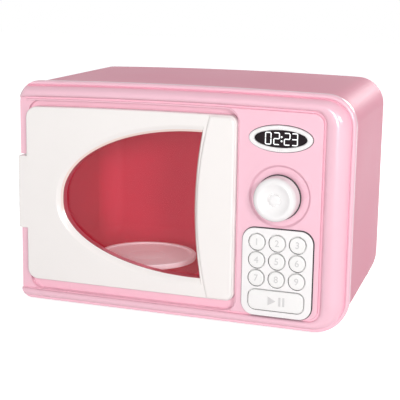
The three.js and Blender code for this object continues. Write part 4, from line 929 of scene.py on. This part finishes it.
# A thin black ring fills the gap round a plate in its pocket: painted shadow for the dark line of the gap
def makeGasket(name, outlineAt, gap, front):
    ring = skin(name, [(0.3, outlineAt(-gap)), (front + 0.1, outlineAt(-gap)), (front, outlineAt(0.1 - gap))])
    cutAway(ring, prism("middle", outlineAt(-0.04), -9, 9))
    finished(ring, "case", "blackPlastic")


makeBezel()
makeGasket("displayGapShadow", bezelAt, 0.4, -1.6)
makeGlass()
makeDigits()
print("display made")

# Knob
knob = {"radius": 14.6, "neck": 12.7, "skirt": -3.9, "front": -15.5, "base": -0.3, "bore": 3.3,
        "boreEnd": -8.0, "edge": 3.5, "lean": 0.25, "lip": 0.35, "hub": 3.7, "bowl": 2.3}
knobShadowRing = {"play": 0.3, "beyond": 0.55, "chamfer": 0.2, "ends": (0.1, 0.9)}


# A skirt that floats over the panel, a big round-over and a bowl with a small hub
def makeKnob():
    radius, front, edge, skirt, hub = knob["radius"], knob["front"], knob["edge"], knob["skirt"], knob["hub"]
    inner = radius - knob["lean"] - edge
    start = inner - knob["lip"]
    top = front + knob["bowl"]
    profile = [(0, knob["boreEnd"]), (knob["bore"], knob["boreEnd"]), (knob["bore"], knob["base"]),
               (knob["neck"], knob["base"]), (knob["neck"], skirt), (radius - 0.7, skirt),
               (radius - 0.2, skirt - 0.2), (radius, skirt - 0.7)]
    profile += arcPoints(inner, front + edge, edge, 0, -90, 10) + [(start, front + 0.1)]
    profile += [(start - (start - hub - 0.8) * t, front + 0.1 + (knob["bowl"] - 0.1) * sin(pi / 2 * t))
                for t in (0.08, 0.16, 0.25, 0.4, 0.55, 0.7, 0.85, 1)]
    profile += [(hub + 0.65, top + 0.9), (hub, top + 0.9), (hub - 0.1, top - 0.4), (hub - 0.5, top - 0.7),
                (hub * 0.5, top - 0.82), (0, top - 0.86)]
    piece = spun("timerKnob", profile, knobSpot, steps=120)
    finished(piece, "knob", "whiteTrim", ["knob"], 40)


# A black ring under the skirt, seen as a line round the knob: painted shadow standing in for the shade of the
# gap
def makeKnobWasher():
    inner, outer = knob["neck"] + knobShadowRing["play"], knob["radius"] + knobShadowRing["beyond"]
    near, far = [knob["skirt"] + end for end in knobShadowRing["ends"]]
    chamfer = knobShadowRing["chamfer"]
    profile = [(inner, near), (outer - chamfer, near), (outer, near + chamfer), (outer, far - chamfer),
               (outer - chamfer, far), (inner, far)]
    ring = spun("knobShadowRing", profile, knobSpot, steps=120, closed=True)
    finished(ring, "knob", "blackPlastic", angle=40)


makeKnob()
makeKnobWasher()
print("knob made")

# Keypad
keys = {"columns": (57.9, 71.7, 85.5), "rows": (58.2, 46.0, 33.8), "radius": 5.35, "front": -4.1,
        "edge": 0.75, "numeral": 6.2, "mark": 0.18}
startKey = {"x": 71.7, "z": 19.1, "width": 37.8, "height": 13.6, "radius": 4.7}


def makeKeypadPlate():
    front = keypad["front"]
    plate = roundedPlate("keypadPlate", keypadAt, keypad["back"], front, keypad["edge"])
    hole = [(0, -6), (6.3, -6), (6.3, front - 0.1), (6.05, front + 0.12), (5.92, front + 0.35), (5.9, -1.8),
            (6.2, -1.8), (6.2, 1), (0, 1)]
    slot = [(-6, 0.95), (front - 0.1, 0.95), (front + 0.15, 0.72), (front + 0.4, 0.54), (-1.8, 0.52),
            (-1.8, 0.85), (1, 0.85)]
    holes = [spun("keyHole", hole, (x, 0, z), steps=48) for x in keys["columns"] for z in keys["rows"]]
    cutAway(plate, *holes, padSkin("startHole", startKey, slot))
    finished(plate, "case", "whiteTrim", ["keypad_plate"])
    # The walls of the gaps round the keys are painted black as painted shade
    dressFaces(plate, "blackPlastic",
               lambda middle, normal: abs(normal.y) < 0.4 and middle.y - frontPlane > front + 0.3)


# Raised type, made a mesh and stood up on a key's face
def raisedType(name, body, size, x, z, front):
    clearSelection()
    bpy.ops.object.text_add()
    label = bpy.context.object
    label.data.body, label.data.size = body, size * mm
    label.data.align_x, label.data.align_y = "CENTER", "CENTER"
    label.data.extrude, label.data.bevel_depth = 0.14 * mm, 0.05 * mm
    bpy.ops.object.convert(target="MESH")
    label = named(name)
    editAll()
    bpy.ops.mesh.remove_doubles(threshold=0.000001)
    bpy.ops.object.mode_set(mode="OBJECT")
    turn = Matrix.Rotation(radians(90), 4, "X")
    label.data.transform(Matrix.Translation(place(x, front, z)) @ turn)
    return label


def makeKeys():
    radius, front, edge = keys["radius"], keys["front"], keys["edge"]
    profile = [(0, front)] + arcPoints(radius - edge, front + edge, edge, -90, 0, 6)
    profile += [(radius, -1.5), (5.9, -1.5), (5.9, -0.6), (4.4, -0.6), (4.4, 1.4), (0, 1.4)]
    spots = [(x, z) for z in keys["rows"] for x in keys["columns"]]
    for number, (x, z) in enumerate(spots, 1):
        body = f"key_{number}"
        cap = spun(f"keyCap{number}", profile, (x, 0, z), steps=64)
        finished(cap, body, "keyWhite", [body])
        numeral = raisedType(f"numeral{number}", str(number), keys["numeral"], x, z, front)
        finished(numeral, body, "numeralGrey")


def makeStartKey():
    x, z, front, edge = startKey["x"], startKey["z"], keys["front"], keys["edge"]
    rows = [(front + edge * (1 - cos(a)), edge * (sin(a) - 1)) for a in quarter(6)]
    rows += [(-1.5, 0), (-1.5, 0.55), (-0.6, 0.55), (-0.6, -1.1), (1.4, -1.1)]
    finished(padSkin("startKeyCap", startKey, rows), "start_key", "keyWhite", ["start_key"])
    marks = [[(x - 5.2, z - 3), (x - 5.2, z + 3), (x + 0.2, z)]]
    for left in (x + 2.2, x + 4.9):
        marks.append([(left, z - 3), (left + 1.4, z - 3), (left + 1.4, z + 3), (left, z + 3)])
    solids = [prism("mark", outline, front - keys["mark"], front + 0.3) for outline in marks]
    finished(joined("startMarks", solids), "start_key", "numeralGrey")


makeKeypadPlate()
makeGasket("keypadGapShadow", keypadAt, 0.45, -1.75)
makeKeys()
makeStartKey()
print("keypad made")

# Back of the body: cover, screws, switch and feet
cover = {"left": 46.5, "right": 96.9, "bottom": 16.9, "top": 82.3, "front": 116.3, "screw": (71.7, 78.4),
         "seat": (1.6, 2.9, 112, 117.45)}
# Head, seat, top, shank and tip
screwKinds = {"caseScrew": (3, 113.9, 116.1, 1.4, 100.1), "doorScrew": (2.2, 4.7, 5.5, 1.1, -0.3),
              "coverScrew": (2.6, 117.75, 118.3, 1.3, 110.6)}
foot = {"radius": 7, "low": -2.5, "edge": 1.1, "gap": 0.3, "peg": (2.2, 4), "hollow": (3.4, 3.9, -2.1)}


def makeBatteryCover():
    back = tub["back"]
    plate = slab("batteryCover", (cover["left"], cover["right"]), (cover["front"], back),
                 (cover["bottom"], cover["top"]), 0.5)
    grooves = []
    for k in range(5):
        pad = {"x": cover["screw"][0], "z": 24 + 3 * k, "width": 22 - 2 * abs(k - 2), "height": 1.0,
               "radius": 0.45}
        grooves.append(padSkin("groove", pad, [(back - 0.7, 0), (back + 1, 0.5)]))
    cutAway(plate, screwHole("coverSeat", *cover["seat"], back - 0.3, 0.5, cover["screw"]), *grooves)
    finished(plate, "case", "pinkTubShaded", ["battery_cover"])


# A screw with a low domed head and a cross recess, seen from the back
def makeScrew(name, body, node, kind, x, z):
    head, seat, top, shank, tip = screwKinds[kind]
    rise = top - seat - 0.15
    profile = [(0, tip), (shank * 0.4, tip), (shank, tip + shank), (shank, seat), (head - 0.15, seat),
               (head, seat + 0.15)]
    profile += [(head * (0.45 + 0.55 * cos(a)), seat + 0.15 + rise * sin(a)) for a in quarter(6, True)]
    screw = spun(name, profile + [(0, top)], (x, 0, z), steps=40)
    arm, half, depth = head * 0.62, head * 0.13, min(0.45 * (top - seat), 0.9)
    cutAway(screw, slab("cross", (x - arm, x + arm), (top - depth, top + 1), (z - half, z + half)),
            slab("cross", (x - half, x + half), (top - depth, top + 1), (z - arm, z + arm)))
    finished(screw, body, "screwSteel", [node])


def makeScrews():
    for number, (x, z) in enumerate(screwSpots, 1):
        makeScrew(f"caseScrew{number}", "case", f"case_screw_{number}", "caseScrew", x, z)
    for number, (x, z) in enumerate(doorScrewSpots, 1):
        makeScrew(f"doorScrew{number}", "door", f"door_screw_{number}", "doorScrew", x, z)
    makeScrew("coverScrew", "case", "battery_cover_screw", "coverScrew", *cover["screw"])


def makeSwitchSlider():
    x, z, back = powerSwitch["x"] - powerSwitch["travel"] / 2, powerSwitch["z"], tub["back"]
    slider = slab("powerSlider", (x - 2, x + 2), (112.8, back), (z - 2, z + 2), 0.3)
    cutAway(slider, *[slab("rib", (x + dx - 0.25, x + dx + 0.25), (back - 0.5, back + 1), (z - 3, z + 3))
                      for dx in (-1.1, 0, 1.1)])
    finished(slider, "power_switch", "blackPlastic", ["switch_slider"])


def makeFeet():
    radius, low, edge, (peg, rise) = foot["radius"], foot["low"], foot["edge"], foot["peg"]
    inner, outer, roof = foot["hollow"]
    for number, (x, y) in enumerate(footSpots, 1):
        share = (y - radius - tub["front"]) / (tub["full"] - tub["front"])
        top = tub["step"] + share * (tub["lift"] - tub["step"]) - foot["gap"]
        profile = [(0, roof), (inner, roof), (outer, low)]
        profile += arcPoints(radius - edge, low + edge, edge, -90, 0, 5)
        profile += [(radius, top), (peg, top), (peg, top + rise), (0, top + rise)]
        piece = spun(f"rubberFoot{number}", profile, (x, y, 0), True, 48)
        finished(piece, "case", "footRubber", [f"foot_{number}"])


makeBatteryCover()
makeScrews()
makeSwitchSlider()
makeFeet()
print("back made")

# Finishes of the CAD nodes that stay as they are
keptNodes = {
    "greyPlastic": ("display_module", "knob_switch", "battery_box", "switch_body", "door_catch"),
    "gearPlastic": ("drive_gear",), "lampClear": ("cavity_lamp",), "boardGreen": ("control_board",),
    "matRubber": ("key_mat",), "brass": ("motor_pinion",), "speakerCone": ("speaker",),
    "motorSteel": ("drive_motor", "knob_shaft", "hinge_pin_upper", "hinge_pin_lower"),
    "cellWrap": ("battery_1", "battery_2", "battery_3"),
    "screwSteel": ("contact_negative", "contact_positive", "contact_bridge_lower", "contact_bridge_upper"),
}
for finish, nodeNames in keptNodes.items():
    for nodeName in nodeNames:
        dress(nodes[nodeName], finish)
print("nodes dressed")

# Stage and light
stage = {"floor": (0.7, 0.7, 0.7), "lift": 0.86, "ambient": 0.31}
# Name, spot, target, size and power
lamps = [
    ("keyLight", (0.3, -1.6, 0.24), (0, 0, 0.08), (0.3, 0.6), 10.5),
    ("rightLight", (0.95, -1.4, 0.5), (0, 0, 0.08), (0.3, 0.3), 9),
    ("rimLight", (0.5, 1.35, 0.65), (0.05, 0.05, 0.12), (0.5, 0.5), 6.5),
    ("highLight", (0.8, 0.6, 0.95), (0.05, 0.05, 0.12), (0.5, 0.5), 2.5),
    ("ovenLight", place(4, 30, 88), place(-76, 90, 44), (0.05, 0.05), 0.006),
]


# The floor keeps its shadow, and reads as white to the camera and in reflections
def makeStage():
    clearSelection()
    bpy.ops.mesh.primitive_plane_add(size=8)
    floor = bpy.context.object
    floor.name = "studioFloor"
    material = bpy.data.materials.new("studioFloor")
    make, connect = nodeMaker(material)
    base = make("BsdfDiffuse", Color=(*stage["floor"], 1))
    glow = make("Emission")
    seen = anyRay(make, connect, "Is Camera Ray", "Is Glossy Ray")
    level = make("Math", operation="MULTIPLY")
    level.inputs[1].default_value = stage["lift"]
    both = make("AddShader")
    out = make("OutputMaterial")
    connect((seen, "Value", level, 0), (level, "Value", glow, "Strength"), (base, "BSDF", both, 0),
            (glow, "Emission", both, 1), (both, "Shader", out, "Surface"))
    floor.data.materials.append(material)


def makeWorld():
    world = bpy.data.worlds.new("studio")
    bpy.context.scene.world = world
    make, connect = nodeMaker(world)
    plain = make("Background", Color=(1, 1, 1, 1), Strength=stage["ambient"])
    white = make("Background", Color=(1, 1, 1, 1), Strength=1.0)
    seen = anyRay(make, connect, "Is Camera Ray", "Is Glossy Ray", "Is Transmission Ray")
    mix = make("MixShader")
    out = make("OutputWorld")
    connect((seen, "Value", mix, "Fac"), (plain, "Background", mix, 1), (white, "Background", mix, 2),
            (mix, "Shader", out, "Surface"))


def softBox(name, spot, target, size, power):
    data = bpy.data.lights.new(name, "AREA")
    data.shape = "RECTANGLE"
    data.size, data.size_y = size
    data.energy = power
    lamp = bpy.data.objects.new(name, data)
    bpy.context.collection.objects.link(lamp)
    lamp.location = spot
    lamp.rotation_euler = (Vector(target) - Vector(spot)).to_track_quat("-Z", "Y").to_euler()


makeStage()
makeWorld()
for lamp in lamps:
    softBox(*lamp)
print("stage lit")
